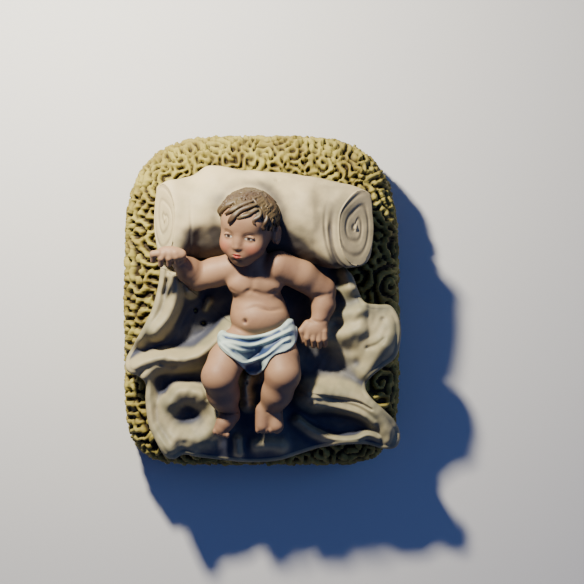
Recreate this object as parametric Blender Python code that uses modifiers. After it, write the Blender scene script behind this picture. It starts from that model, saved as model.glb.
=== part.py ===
"""A small cast nativity figurine: a baby lying on a draped cloth and a rolled bolster, over a bed of straw.

The whole thing is one casting, so it is one closed solid. It lies on its flat underside: +Z is up, +Y runs from
the feet to the head, and the origin is the middle of the underside. Each form is built by its own function as an
overlapping closed shape, and the shapes are then fused into one skin and cut off flat below.

The free forms are drawn in millimetres on a bed DRAWN_WIDTH by DRAWN_LENGTH, with heights counted from the
bed's top, and on_bed() takes a drawn point to its real place.
"""

import math
import random

import bmesh
import bpy
import numpy as np
from mathutils import Matrix, Vector
from mathutils.bvhtree import BVHTree

NAME = "baby_on_straw_bed"
MM = 0.001

# Driving sizes
BED_WIDTH = 0.0358
BED_LENGTH = 0.0428
BED_HEIGHT = 0.0096
BED_EDGE_ROUND = 0.0034
STRAND_RADIUS = 0.00066
STRAND_PITCH = 0.0026
CLOTH_RISE = 0.0011
BOLSTER_HEIGHT = 0.0082
INFANT_LENGTH = 0.0320

# The drawing that the free forms are measured on, in millimetres
DRAWN_WIDTH = 35.8
DRAWN_LENGTH = 42.8
DRAWN_CLOTH_RISE = 1.1
DRAWN_BOLSTER_HEIGHT = 8.2
DRAWN_INFANT_LENGTH = 32.0

# How square the bed's corners are: a superellipse is rounder at a low power
HEAD_END_POWER = 4.0
FOOT_END_POWER = 7.0

# Mesh fineness
VOXEL = 0.0002
SMOOTH_ROUNDS = 2
STRAW_TRIANGLES = 3900
FIGURE_TRIANGLES = 5750
SINK = 0.0008  # how far the forms run below the underside before it is cut flat
STRAW_SEED = 12
STRAW_UNDER_CLOTH = 0.0054  # how far the strands run in under the cloth and the roll
SHARP_DEGREES = 50.0

CASTING_COLOUR = (0.78, 0.66, 0.46, 1.0)
CASTING_ROUGHNESS = 0.62

WIDTH_SCALE = BED_WIDTH / (DRAWN_WIDTH * MM)
LENGTH_SCALE = BED_LENGTH / (DRAWN_LENGTH * MM)
INFANT_SCALE = INFANT_LENGTH / (DRAWN_INFANT_LENGTH * MM)
BOLSTER_SCALE = BOLSTER_HEIGHT / (DRAWN_BOLSTER_HEIGHT * MM)
CLOTH_LIFT = CLOTH_RISE - DRAWN_CLOTH_RISE * MM


def on_bed(x, y, z):
    """A drawn point (millimetres, z from the bed's top) in metres, with x and y following the bed's size."""
    return Vector((x * MM * WIDTH_SCALE, y * MM * LENGTH_SCALE, BED_HEIGHT + z * MM + CLOTH_LIFT))


def on_infant(x, y, z):
    """A drawn point of the baby in metres: it keeps its own proportions and lies on the cloth."""
    return Vector((x * MM * INFANT_SCALE, y * MM * INFANT_SCALE, BED_HEIGHT + CLOTH_LIFT + z * MM * INFANT_SCALE))


# The bed's outline and the way over its edge

def outline_points(count):
    """Points round the bed's core at equal steps, and the outward normals there, as two arrays."""
    half_x = BED_WIDTH / 2 - STRAND_RADIUS
    half_y = BED_LENGTH / 2 - STRAND_RADIUS
    angle = np.linspace(0.0, 2.0 * math.pi, 4001)[:-1]
    cos, sin = np.cos(angle), np.sin(angle)
    power = np.where(sin >= 0.0, HEAD_END_POWER, FOOT_END_POWER)
    x = half_x * np.sign(cos) * np.abs(cos) ** (2.0 / power)
    y = half_y * np.sign(sin) * np.abs(sin) ** (2.0 / power)
    ring = np.stack([x, y], axis=1)
    steps = np.linalg.norm(np.roll(ring, -1, axis=0) - ring, axis=1)
    along = np.concatenate([[0.0], np.cumsum(steps)])
    closed = np.vstack([ring, ring[:1]])
    wanted = np.arange(count) * along[-1] / count
    even = np.stack([np.interp(wanted, along, closed[:, i]) for i in range(2)], axis=1)
    tangent = np.roll(even, -1, axis=0) - np.roll(even, 1, axis=0)
    tangent /= np.linalg.norm(tangent, axis=1)[:, None]
    return even, np.stack([tangent[:, 1], -tangent[:, 0]], axis=1), along[-1]


def over_the_edge(t):
    """Inset and height of the core's surface at distance t up from the underside, then in over the top edge."""
    wall = BED_HEIGHT - BED_EDGE_ROUND
    quarter = 0.5 * math.pi * BED_EDGE_ROUND
    if t < wall:
        return 0.0, t
    if t < wall + quarter:
        turn = (t - wall) / BED_EDGE_ROUND
        return BED_EDGE_ROUND * (1.0 - math.cos(turn)), wall + BED_EDGE_ROUND * math.sin(turn)
    return BED_EDGE_ROUND + (t - wall - quarter), BED_HEIGHT


class BedSurface:
    """The core's surface as a map from (distance round the outline, distance over the edge) to a point."""

    def __init__(self):
        self.count = 720
        self.ring, self.normals, self.length = outline_points(self.count)

    def point(self, s, t):
        place = (s / self.length) % 1.0 * self.count
        first = int(place) % self.count
        second = (first + 1) % self.count
        share = place - int(place)
        x, y = self.ring[first] * (1.0 - share) + self.ring[second] * share
        nx, ny = self.normals[first] * (1.0 - share) + self.normals[second] * share
        inset, height = over_the_edge(max(t, 0.0))
        return Vector((x - nx * inset, y - ny * inset, height))


# Small mesh helpers

class Shells:
    """Closed shells that overlap, gathered as arrays and made one mesh at the end."""

    def __init__(self):
        self.points = []
        self.faces = []
        self.count = 0
        bm = bmesh.new()
        bmesh.ops.create_uvsphere(bm, u_segments=20, v_segments=13, radius=1.0)
        self.ball_points = np.array([vertex.co[:] for vertex in bm.verts])
        self.ball_faces = [[vertex.index for vertex in face.verts] for face in bm.faces]
        bm.free()

    def add(self, points, faces):
        self.points.append(points)
        self.faces.extend([index + self.count for index in face] for face in faces)
        self.count += len(points)

    def ball(self, centre, half_axes, turn=None):
        """An ellipsoid: the unit ball scaled by its three half axes, turned, and moved to its centre."""
        points = self.ball_points * np.array(half_axes)
        if turn is not None:
            points = points @ np.array(turn).T
        self.add(points + np.array(centre), self.ball_faces)

    def bar(self, start, end, start_radius, end_radius):
        """A tapered bar with round ends: the unit ball's two halves, pulled apart to the two ends."""
        turn = np.array((end - start).to_track_quat("Z", "Y").to_matrix())
        upper = self.ball_points[:, 2:] > 0.0
        points = self.ball_points * np.where(upper, end_radius, start_radius)
        points = points @ turn.T + np.where(upper, np.array(end), np.array(start))
        self.add(points, self.ball_faces)

    def chain(self, points, radii):
        """A limb: tapered bars from joint to joint."""
        for start, end, first, second in zip(points, points[1:], radii, radii[1:]):
            self.bar(start, end, first, second)

    def tree(self):
        """What has been gathered so far, to lay other forms on."""
        return BVHTree.FromPolygons([Vector(p) for p in np.concatenate(self.points)], self.faces)

    def made(self, name):
        mesh = bpy.data.meshes.new(name)
        mesh.from_pydata(np.concatenate(self.points).tolist(), [], self.faces)
        made = bpy.data.objects.new(name, mesh)
        forms.objects.link(made)
        return made


def smooth_line(points, steps):
    """A Catmull-Rom curve through the given points, as a list with the ends kept."""
    ends = [points[0], *points, points[-1]]
    line = []
    for i in range(1, len(ends) - 2):
        a, b, c, d = (np.array(p, float) for p in ends[i - 1:i + 3])
        for j in range(steps):
            u = j / steps
            line.append(0.5 * (2 * b + (c - a) * u + (2 * a - 5 * b + 4 * c - d) * u * u
                               + (3 * b - a - 3 * c + d) * u ** 3))
    line.append(np.array(ends[-1], float))
    return np.array(line)


def new_object(name, bm):
    mesh = bpy.data.meshes.new(name)
    bm.to_mesh(mesh)
    bm.free()
    made = bpy.data.objects.new(name, mesh)
    forms.objects.link(made)
    return made


def mesh_of(curve_object):
    """A curve object made a mesh with its caps welded."""
    graph = bpy.context.evaluated_depsgraph_get()
    mesh = bpy.data.meshes.new_from_object(curve_object.evaluated_get(graph))
    made = bpy.data.objects.new(curve_object.name + "_mesh", mesh)
    made.matrix_world = curve_object.matrix_world
    forms.objects.link(made)
    bpy.data.objects.remove(curve_object)
    bm = bmesh.new()
    bm.from_mesh(mesh)
    bmesh.ops.remove_doubles(bm, verts=bm.verts, dist=1e-6)
    bm.to_mesh(mesh)
    bm.free()
    return made


# The straw bed

def bed_core(surface):
    """The bed's block: its outline extruded, with both edges rounded by the curve's bevel."""
    curve = bpy.data.curves.new("bed_core", "CURVE")
    curve.dimensions = "2D"
    curve.fill_mode = "BOTH"
    curve.bevel_depth = BED_EDGE_ROUND
    curve.bevel_resolution = 4
    curve.offset = -BED_EDGE_ROUND
    depth = BED_HEIGHT + BED_EDGE_ROUND + SINK
    curve.extrude = depth / 2.0 - BED_EDGE_ROUND
    spline = curve.splines.new("POLY")
    ring = surface.ring[::6]
    spline.points.add(len(ring) - 1)
    for point, (x, y) in zip(spline.points, ring):
        point.co = (x, y, 0.0, 1.0)
    spline.use_cyclic_u = True
    core = bpy.data.objects.new("bed_core", curve)
    core.location.z = BED_HEIGHT - depth / 2.0
    forms.objects.link(core)
    bpy.context.view_layer.update()
    return mesh_of(core)


def strand_walk(draw):
    """One modelled strand of straw, drawn flat: its points start at the origin and wander, hook or coil."""
    kind = draw.random()
    side = draw.choice((-1, 1))
    if kind < 0.2:
        length, bend, swing = 7.0, side / 1.3, 0.0
    elif kind < 0.60:
        length, bend, swing = draw.uniform(4.0, 6.2), draw.uniform(-0.45, 0.45), 0.0
    else:
        length, bend, swing = draw.uniform(4.6, 6.6), 0.0, side * 0.9
    length, bend, swing = length * STRAND_RADIUS, bend / STRAND_RADIUS, swing / STRAND_RADIUS
    count = 9
    step = length / (count - 1)
    heading = draw.uniform(0.0, 2.0 * math.pi)
    points = [(0.0, 0.0)]
    for i in range(1, count):
        heading += (bend + swing * math.cos(math.pi * i / (count - 1))) * step
        x, y = points[-1]
        points.append((x + step * math.cos(heading), y + step * math.sin(heading)))
    middle_x = sum(p[0] for p in points) / count
    middle_y = sum(p[1] for p in points) / count
    return [(x - middle_x, y - middle_y) for x, y in points]


def straw_strands(surface):
    """The straw's modelled strands, in rows from the underside over the top edge to under the cloth."""
    draw = random.Random(STRAW_SEED)
    reach = BED_HEIGHT + 0.5 * BED_EDGE_ROUND + STRAW_UNDER_CLOTH
    rows = round(reach / STRAND_PITCH)
    curve = bpy.data.curves.new("straw", "CURVE")
    curve.dimensions = "3D"
    curve.bevel_depth = STRAND_RADIUS
    curve.bevel_resolution = 2
    curve.use_fill_caps = True
    for row in range(rows):
        t_row = (row + 0.5) * reach / rows
        inset = over_the_edge(t_row)[0]
        columns = round((surface.length - 5.5 * inset) / STRAND_PITCH)
        for column in range(columns):
            s = (column + 0.5 * (row % 2) + draw.uniform(-0.3, 0.3)) * surface.length / columns
            t = t_row + draw.uniform(-0.3, 0.3) * STRAND_PITCH
            thick = draw.uniform(0.85, 1.15)
            spread = surface.length / (surface.length - 5.5 * inset)
            path = [surface.point(s + a * spread, t + b) for a, b in strand_walk(draw)]
            spline = curve.splines.new("POLY")
            spline.points.add(len(path) - 1)
            for i, (point, place) in enumerate(zip(spline.points, path)):
                point.co = (*place, 1.0)
                end = min(i, len(path) - 1 - i)
                point.radius = thick * (0.55, 0.9, 1.0, 1.0, 1.0)[end]
    straw = bpy.data.objects.new("straw", curve)
    forms.objects.link(straw)
    return mesh_of(straw)


# The draped cloth: its hem, its folds and its hollows, drawn in millimetres

HEM = (
    (-12.9, 4.3), (-13.2, 2.0), (-13.9, -0.8), (-14.9, -3.0), (-16.4, -5.6), (-17.4, -7.4), (-17.3, -9.0),
    (-15.9, -9.7), (-14.9, -10.7), (-14.9, -13.0), (-14.5, -16.0), (-13.5, -18.2), (-12.4, -20.0), (-11.3, -20.5),
    (-9.9, -19.9), (-8.0, -20.3), (-5.0, -20.7), (-1.5, -21.0), (2.0, -20.8), (5.0, -19.9), (7.5, -19.1),
    (10.5, -18.6), (13.5, -18.6), (16.0, -19.2), (17.5, -18.9), (18.0, -17.4), (17.3, -15.6), (15.8, -14.0),
    (14.2, -12.5), (13.5, -11.2), (14.2, -9.9), (15.8, -8.6), (17.4, -7.3), (18.0, -5.0), (17.9, -2.6),
    (16.8, -0.7), (15.0, -0.5), (13.4, -0.2), (12.5, 1.4), (11.8, 3.2), (10.6, 4.6), (9.0, 7.0),
    (0.0, 9.0), (-9.0, 7.5),
)

CLOTH_FOLLOWS = 0.6  # the share of the bed's rounded edge that the cloth sinks with
FOLD_SHARPNESS = 2.6  # how tightly folds that meet are blended
LOWEST_HOLLOW = -0.2
CLOTH_MIDDLE = (0.0, -6.0)
CLOTH_RINGS = 34
CLOTH_SKIRT = 2.2  # how far the hem reaches down into the bed

# Each fold: the line of its crest, how high it stands, and half its width
FOLDS = (
    (((-12.5, 3.9), (-13, 1.2), (-13.6, -1.2), (-14.5, -3.2), (-15.8, -4.5)), 3, 1),
    (((-11, 3.3), (-11.3, 1.2), (-12, -0.6), (-12.8, -2.2), (-14.2, -3.6)), 4.1, 1.3),
    (((-11, 3.3), (-9.9, 2.2), (-9.3, 1.2)), 2.9, 1.1),
    (((-6.8, -0.1), (-7.2, -1.1)), 1.2, 0.55),
    (((-4.2, -3.6), (-6.2, -5.6), (-8.1, -7.1), (-10.5, -7.6), (-12.6, -7.4), (-14.6, -7.9), (-16.4,
      -8.7)), 3.4, 1.4),
    (((-14.8, -8.6), (-14.5, -10.4), (-14.4, -12.8), (-14.1, -15.4), (-13.1, -17.6), (-11.9, -19.5)), 2, 0.9),
    (((-12, -13.4), (-11.7, -12.2), (-10.6, -11.7), (-9, -11.7), (-7.6, -12.2)), 3, 1.8),
    (((-12, -13.4), (-12.5, -15.2), (-11.4, -16.8), (-9.3, -17.2), (-7.2, -16.6), (-6, -14.9), (-6.3,
      -12.9)), 2.3, 1.6),
    (((-11.3, -17.4), (-11.6, -19.4)), 1.3, 0.9),
    (((-9, -18.2), (-8.6, -19.4)), 1, 0.9),
    (((-3, -18), (-2.9, -19.7)), 1.4, 0.6),
    (((-0.6, -18.7), (1, -18.6), (2.6, -18.8)), 1.2, 1),
    (((-1.5, -10.1), (-1.8, -11.6), (-1.7, -13.4)), 2.2, 1),
    (((11.2, 3.5), (11.5, 1.5), (12.4, -0.5)), 2.6, 1.1),
    (((12.8, -1.3), (11, -1.7), (9.4, -2.1)), 0.9, 0.75),
    (((13, -3.8), (10.8, -4.4), (8.8, -5)), 1, 0.85),
    (((15.8, -6.1), (14.7, -7.6), (13.5, -9.4)), 1.7, 1.2),
    (((6.4, -11.9), (9.8, -12), (12.6, -12.8), (15, -14.6), (16.6, -16.8), (17, -18)), 3, 1.8),
    (((4.8, -15.5), (7, -16.9), (9.6, -17.9), (12.2, -17.9), (13.8, -17.3), (15.2, -17.8)), 1.9, 0.75),
)

# Each swell, where the cloth is heaped up under the body, and each hollow, with a rise below zero:
# its middle, its rise, and half its width along x and along y
SWELLS = (
    ((-0.8, 1.5), 1.9, 2.6, 3.4),
    ((-0.4, -4.5), 1.6, 3.6, 2.6),
    ((-1.2, -8.6), 2.4, 3.4, 2.0),
    ((-7.0, 3.4), 1.6, 2.4, 1.2),
    ((7.4, 0.6), 1.6, 1.4, 2.4),
    ((7.2, -3.9), 1.9, 1.7, 1.5),
    ((1.0, -15.2), 1.5, 1.7, 1.5),
    ((-4.3, -14.9), 1.3, 1.2, 1.4),
    ((15.2, -3.1), 2.1, 4.6, 3.3),
    ((-9.1, -14.6), -1.5, 1.5, 1.0),
    ((-7.8, -2.0), -0.9, 2.6, 1.8),
    ((-12.9, -11.0), -0.6, 0.9, 1.4),
    ((10.0, -15.9), -1.0, 4.2, 1.0),
    ((8.0, -8.4), -0.4, 2.4, 1.6),
    ((9.9, -3.0), -0.5, 1.0, 0.6),
    ((11.3, -6.3), -0.6, 0.9, 0.6),
    ((12.5, -8.0), -0.5, 0.7, 0.6),
)


def bed_drop(x, y):
    """How far the bed's top has fallen away at drawn points x, y, where it rounds over towards its outline."""
    power = np.where(y >= 0.0, HEAD_END_POWER, FOOT_END_POWER)
    level = (np.abs(x / (DRAWN_WIDTH / 2)) ** power + np.abs(y / (DRAWN_LENGTH / 2)) ** power) ** (1.0 / power)
    rim = BED_EDGE_ROUND / MM
    inset = np.clip((1.0 - level) * DRAWN_WIDTH / 2, 0.02, rim)
    return rim - np.sqrt(np.maximum(rim ** 2 - (rim - inset) ** 2, 0.0))


def cloth_height(x, y):
    """Height of the cloth over the bed's top at drawn points x, y: a soft maximum of the folds, plus the swells."""
    crest = np.ones_like(x)
    for line, height, width in FOLDS:
        path = smooth_line(line, 6)
        away = np.full_like(x, 1e9)
        for (ax, ay), (bx, by) in zip(path, path[1:]):
            run = max((bx - ax) ** 2 + (by - ay) ** 2, 1e-9)
            share = np.clip(((x - ax) * (bx - ax) + (y - ay) * (by - ay)) / run, 0.0, 1.0)
            away = np.minimum(away, (x - ax - share * (bx - ax)) ** 2 + (y - ay - share * (by - ay)) ** 2)
        crest += np.exp(FOLD_SHARPNESS * height * np.exp(-away / width ** 2)) - 1.0
    raised = np.log(crest) / FOLD_SHARPNESS
    for (cx, cy), rise, half_x, half_y in SWELLS:
        raised += rise * np.exp(-((x - cx) / half_x) ** 2 - ((y - cy) / half_y) ** 2)
    return DRAWN_CLOTH_RISE + np.maximum(raised, LOWEST_HOLLOW)


def draped_cloth():
    """The cloth as rings from its middle out to the hem, with a hem that turns down, closed underneath."""
    centre = np.array(CLOTH_MIDDLE)
    hem = smooth_line((*HEM, HEM[0]), 4)[:-1]
    rings = np.concatenate([np.linspace(0.03, 0.96, CLOTH_RINGS), [0.99, 1.0, 0.99]])
    turned = np.concatenate([np.zeros(CLOTH_RINGS), [0.25, 0.7, 1.6]])
    bm = bmesh.new()
    rows = []
    for share, down in zip(rings, turned):
        flat = centre + share * (hem - centre)
        x, y = flat[:, 0], flat[:, 1]
        z = cloth_height(x, y) - CLOTH_FOLLOWS * bed_drop(x, y) - down
        rows.append([bm.verts.new(on_bed(*p)) for p in zip(x, y, z)])
    for inner, outer in zip(rows, rows[1:]):
        for i in range(len(hem)):
            j = (i + 1) % len(hem)
            bm.faces.new((inner[i], inner[j], outer[j], outer[i]))
    bm.faces.new(rows[0])
    under = [bm.verts.new(v.co - Vector((0.0, 0.0, CLOTH_SKIRT * MM))) for v in rows[-1]]
    for i in range(len(hem)):
        j = (i + 1) % len(hem)
        bm.faces.new((rows[-1][i], rows[-1][j], under[j], under[i]))
    bm.faces.new(under)
    bmesh.ops.triangulate(bm, faces=[f for f in bm.faces if len(f.verts) > 4])
    bmesh.ops.recalc_face_normals(bm, faces=bm.faces)
    return new_object("cloth", bm)


# The rolled bolster, drawn in millimetres

BOLSTER_STATIONS = (
    (-13.7, 10.3, 4.7), (-12.6, 10.4, 5.1), (-9.0, 10.7, 5.3), (-4.0, 11.0, 5.5), (0.0, 11.0, 5.6),
    (5.0, 10.6, 5.6), (9.5, 9.9, 5.6), (13.2, 9.4, 5.3), (14.5, 9.3, 4.9),
)
BOLSTER_LEFT_SLOPE = 2.8
BOLSTER_RIGHT_SLOPE = 4.6
BOLSTER_END_LOW = 5.0  # where the lower rim of an end face lies
BOLSTER_SINK = 0.4  # how far the roll is pressed into the bed
BOLSTER_RADIUS = 5.2
END_BEGINS, END_DONE = 9.0, 13.6  # how far out the round section starts to slope, and where it is all slope


def eased(x, start, end):
    share = max(0.0, min(1.0, (x - start) / (end - start)))
    return share * share * (3.0 - 2.0 * share)


def bolster_point(x, middle_y, radius, share, angle, end_face=False):
    """A point of the roll's section: round in the middle, and at the ends a face that slopes out and down."""
    up = share * math.sin(angle)
    across = share * math.cos(angle)
    near_end = eased(abs(x), END_BEGINS, END_DONE)
    lean = near_end * (0.5 + 0.5 * up)
    shift = BOLSTER_LEFT_SLOPE * lean if x < 0 else -BOLSTER_RIGHT_SLOPE * lean
    round_z = DRAWN_BOLSTER_HEIGHT / 2.0 * (1.0 + up) * radius / BOLSTER_RADIUS
    slope_z = BOLSTER_END_LOW + (DRAWN_BOLSTER_HEIGHT - BOLSTER_END_LOW) * (0.5 + 0.5 * up)
    if not end_face:
        slope_z -= BOLSTER_END_LOW * eased(-up, 0.55, 1.0)
        square = math.copysign(abs(across) ** 0.45, across)
        across += (square - across) * near_end * eased(-up, 0.0, 0.5)
    z = round_z + (slope_z - round_z) * near_end - BOLSTER_SINK
    return on_bed(x + shift, middle_y + radius * across, 0.0) + Vector((0.0, 0.0, BOLSTER_SCALE * MM * z))


ROLL_SIDES = 28
COIL_TURNS = 2.6
COIL_RADIUS = 0.36
COIL_STEPS = 46
ROLL_HUMPS = (((-5.7, 15.2, 3.2), (2.3, 1.8, 3.2)), ((-7.3, 15.0, 3.0), (1.4, 1.4, 2.6)))


def bolster():
    """The roll lofted through its stations, with sloping ends, a raised coil on each, and two humps at the back."""
    bm = bmesh.new()
    angles = [2.0 * math.pi * i / ROLL_SIDES for i in range(ROLL_SIDES)]
    stations = smooth_line(BOLSTER_STATIONS, 3)
    rings = [(*station, False) for station in stations]
    rings = [(*stations[0], True), *rings, (*stations[-1], True)]
    rows = []
    for x, middle_y, radius, end_face in rings:
        rows.append([bm.verts.new(bolster_point(x, middle_y, radius, 1.0, a, end_face)) for a in angles])
    for first, second in zip(rows, rows[1:]):
        for i in range(ROLL_SIDES):
            j = (i + 1) % ROLL_SIDES
            bm.faces.new((first[i], first[j], second[j], second[i]))
    bm.faces.new(rows[0])
    bm.faces.new(rows[-1])
    bmesh.ops.recalc_face_normals(bm, faces=bm.faces)
    extras = Shells()
    for x, middle_y, radius in (stations[0], stations[-1]):
        hand = 1.0 if x < 0 else -1.0
        coil = []
        for i in range(COIL_STEPS):
            share = i / (COIL_STEPS - 1)
            angle = hand * 2.0 * math.pi * COIL_TURNS * share
            coil.append(bolster_point(x, middle_y, radius, 0.12 + 0.78 * share, angle, True))
        extras.chain(coil, [COIL_RADIUS * MM] * COIL_STEPS)
    for place, half_axes in ROLL_HUMPS:
        extras.ball(on_bed(*place), [half * MM for half in half_axes])
    return [new_object("bolster", bm), extras.made("bolster_extras")]


# The baby, drawn in millimetres

HEAD_MIDDLE = (-1.55, 9.6, 7.7)
HEAD_FACING = (-0.36, -0.27, 0.89)
HEAD_UP = (0.17, 1.0, 0.0)


def head_frame():
    """The head's axes as a matrix: across (to the baby's left), up to the crown, and forward out of the face."""
    forward = Vector(HEAD_FACING).normalized()
    up = Vector(HEAD_UP)
    up = (up - up.dot(forward) * forward).normalized()
    across = up.cross(forward)
    return Matrix((across, up, forward)).transposed()


def in_head(across, up, forward):
    """A place given along the head's own axes, counted from the head's middle, in metres."""
    return on_infant(*(Vector(HEAD_MIDDLE) + head_frame() @ Vector((across, up, forward))))


def drawn(sizes):
    """The baby's drawn sizes in metres."""
    return [size * MM * INFANT_SCALE for size in sizes]


def baby_head(shells):
    """Skull, cheeks, chin, brow, nose, lips and ears."""
    frame = head_frame()

    def ball(place, half_axes):
        shells.ball(in_head(*place), drawn(half_axes), frame)

    ball((0.0, 0.6, -0.3), (3.7, 3.7, 4.0))
    ball((0.0, -1.6, 0.9), (2.95, 3.2, 2.7))
    ball((0.0, -4.1, 2.0), (1.25, 0.95, 1.05))
    ball((0.0, 1.6, 2.2), (2.6, 1.8, 1.5))
    for side in (-1, 1):
        ball((side * 1.65, -1.9, 2.3), (1.3, 1.3, 1.15))
        ball((side * 3.75, -0.6, -0.4), (0.6, 1.2, 0.85))
    ball((0.0, -0.9, 3.7), (0.45, 0.8, 0.55))
    ball((0.0, -2.65, 3.35), (0.85, 0.42, 0.42))


HAIR_MIDDLE = (-0.1, 0.95, -0.45)
HAIR_HALF_AXES = (3.75, 3.4, 3.95)
HAIR_CROWN = (0.25, 0.85, -0.45)
HAIR_SEED = 5
HAIR_LOCKS = 16


def baby_hair(shells):
    """A cap of hair with wavy locks that run from the crown down to the fringe, the temples and the nape."""
    draw = random.Random(HAIR_SEED)
    shells.ball(in_head(*HAIR_MIDDLE), drawn(HAIR_HALF_AXES), head_frame())
    crown = Vector(HAIR_CROWN).normalized()
    aside = Vector((1.0, 0.0, 0.0)).cross(crown).normalized()
    across = crown.cross(aside)
    for lock in range(HAIR_LOCKS):
        azimuth = 2.0 * math.pi * (lock + draw.uniform(-0.25, 0.25)) / HAIR_LOCKS
        phase = draw.uniform(0.0, 2.0 * math.pi)
        reach = math.radians(draw.uniform(88.0, 102.0))
        path = []
        for i in range(7):
            polar = 0.2 + (reach - 0.2) * i / 6
            turn = azimuth + 0.35 * math.sin(polar) + 0.16 * math.sin(5.0 * polar + phase)
            ray = math.cos(polar) * crown + math.sin(polar) * (math.cos(turn) * aside + math.sin(turn) * across)
            path.append(in_head(*(m + 1.02 * h * r for m, h, r in zip(HAIR_MIDDLE, HAIR_HALF_AXES, ray))))
        shells.chain(path, drawn((0.35, 0.6, 0.72, 0.74, 0.7, 0.6, 0.35)))


def limb(shells, points, radii):
    shells.chain([on_infant(*p) for p in points], drawn(radii))


def baby_ball(shells, place, half_axes, turn_degrees=0.0):
    turn = Matrix.Rotation(math.radians(turn_degrees), 3, "Z")
    shells.ball(on_infant(*place), drawn(half_axes), turn)


def baby_trunk(shells):
    """Neck, ribcage, breast, waist, belly and hips."""
    limb(shells, ((-1.2, 6.2, 6.0), (-0.9, 3.8, 5.0)), (1.9, 2.2))
    baby_ball(shells, (-0.75, 2.7, 4.6), (3.5, 3.2, 2.9))
    for x in (-2.5, 1.1):
        baby_ball(shells, (x, 2.1, 5.9), (1.75, 1.55, 1.35))
    baby_ball(shells, (-0.3, -1.0, 4.1), (3.5, 3.2, 2.9))
    baby_ball(shells, (-0.1, -2.4, 4.5), (3.8, 2.4, 3.0))
    baby_ball(shells, (-0.2, -2.8, 5.6), (2.9, 1.4, 1.55))
    baby_ball(shells, (-0.4, -5.4, 3.6), (4.4, 2.6, 2.7))


def baby_arms(shells):
    """The raised arm with its hand held out over the bolster's end, and the arm that bends down beside the hip."""
    limb(shells, ((-3.6, 4.2, 5.0), (-6.0, 3.6, 4.8), (-8.1, 3.0, 4.7)), (1.95, 1.8, 1.7))
    limb(shells, ((-8.1, 3.0, 4.7), (-9.3, 4.0, 6.7), (-10.4, 5.1, 8.4)), (1.7, 1.6, 1.05))
    baby_ball(shells, (-11.2, 5.75, 8.9), (1.45, 1.1, 0.8), 15)
    for i, (x, y) in enumerate(((-13.7, 5.2), (-13.3, 4.8), (-12.6, 4.8), (-11.7, 4.8))):
        knuckle = (-12.4 + 0.4 * i, 6.2 - 0.2 * i, 9.3 - 0.1 * i)
        limb(shells, (knuckle, (x + 0.1, y + 0.6, 9.2 - 0.15 * i), (x + 0.1, y, 8.6 - 0.15 * i)), (0.46, 0.44, 0.4))
    limb(shells, ((-10.4, 5.7, 8.7), (-10.2, 4.9, 8.0)), (0.5, 0.42))

    limb(shells, ((2.4, 4.4, 5.6), (5.4, 3.2, 4.8), (7.9, 1.3, 3.9)), (2.0, 1.85, 1.7))
    limb(shells, ((7.9, 1.3, 3.7), (8.05, -0.6, 3.9), (7.6, -2.4, 4.2)), (1.7, 1.5, 1.15))
    baby_ball(shells, (6.9, -3.8, 4.5), (1.85, 1.45, 0.9), 10)
    for x in (5.6, 6.45, 7.3, 8.1):
        limb(shells, ((0.7 * x + 2.1, -4.2, 4.75), (x, -5.1, 4.7), (x, -5.6, 4.1)), (0.46, 0.46, 0.42))
    limb(shells, ((5.9, -3.3, 4.6), (5.2, -4.2, 4.5), (5.2, -5.0, 4.0)), (0.5, 0.45, 0.38))


def baby_legs(shells):
    """Both legs with knees up and feet set down on the cloth."""
    limb(shells, ((-2.9, -5.6, 4.5), (-4.4, -7.7, 6.2), (-5.25, -9.7, 7.3)), (2.35, 2.3, 2.15))
    limb(shells, ((-5.25, -9.7, 7.3), (-4.7, -12.0, 5.7), (-4.1, -14.0, 4.4)), (2.15, 2.0, 1.4))
    limb(shells, ((-3.7, -14.7, 3.8), (-4.6, -15.8, 3.7), (-5.2, -16.5, 3.3)), (1.25, 1.1, 0.85))
    for i in range(5):
        baby_ball(shells, (-6.0 + 0.42 * i, -17.0 - 0.08 * i, 3.1), (0.36, 0.44, 0.42))

    limb(shells, ((2.0, -5.4, 4.7), (2.6, -7.5, 6.4), (2.85, -9.4, 7.5)), (2.4, 2.3, 2.15))
    limb(shells, ((2.85, -9.4, 7.5), (2.2, -11.8, 5.8), (1.15, -13.9, 4.4)), (2.15, 1.95, 1.5))
    baby_ball(shells, (1.05, -15.2, 3.5), (1.75, 1.75, 1.25))
    for i in range(5):
        baby_ball(shells, (-0.35 + 0.7 * i, -16.75, 3.2), (0.42, 0.5, 0.48))


SWAG_ENDS = ((-5.1, -4.2), (4.2, -2.9))
SWAG_STEPS = 16
HIP_HEIGHT = 4.4
OVER_ALL = 20.0  # a height above every form, where the rays that find the wrap's top start

# Each swag: how far its ends lie below the top edge, how far it sags, and its radius
SWAGS = ((0.0, 1.0, 0.42), (0.5, 1.7, 0.34), (0.95, 2.7, 0.4), (1.4, 3.5, 0.34), (1.9, 4.3, 0.36))


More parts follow.
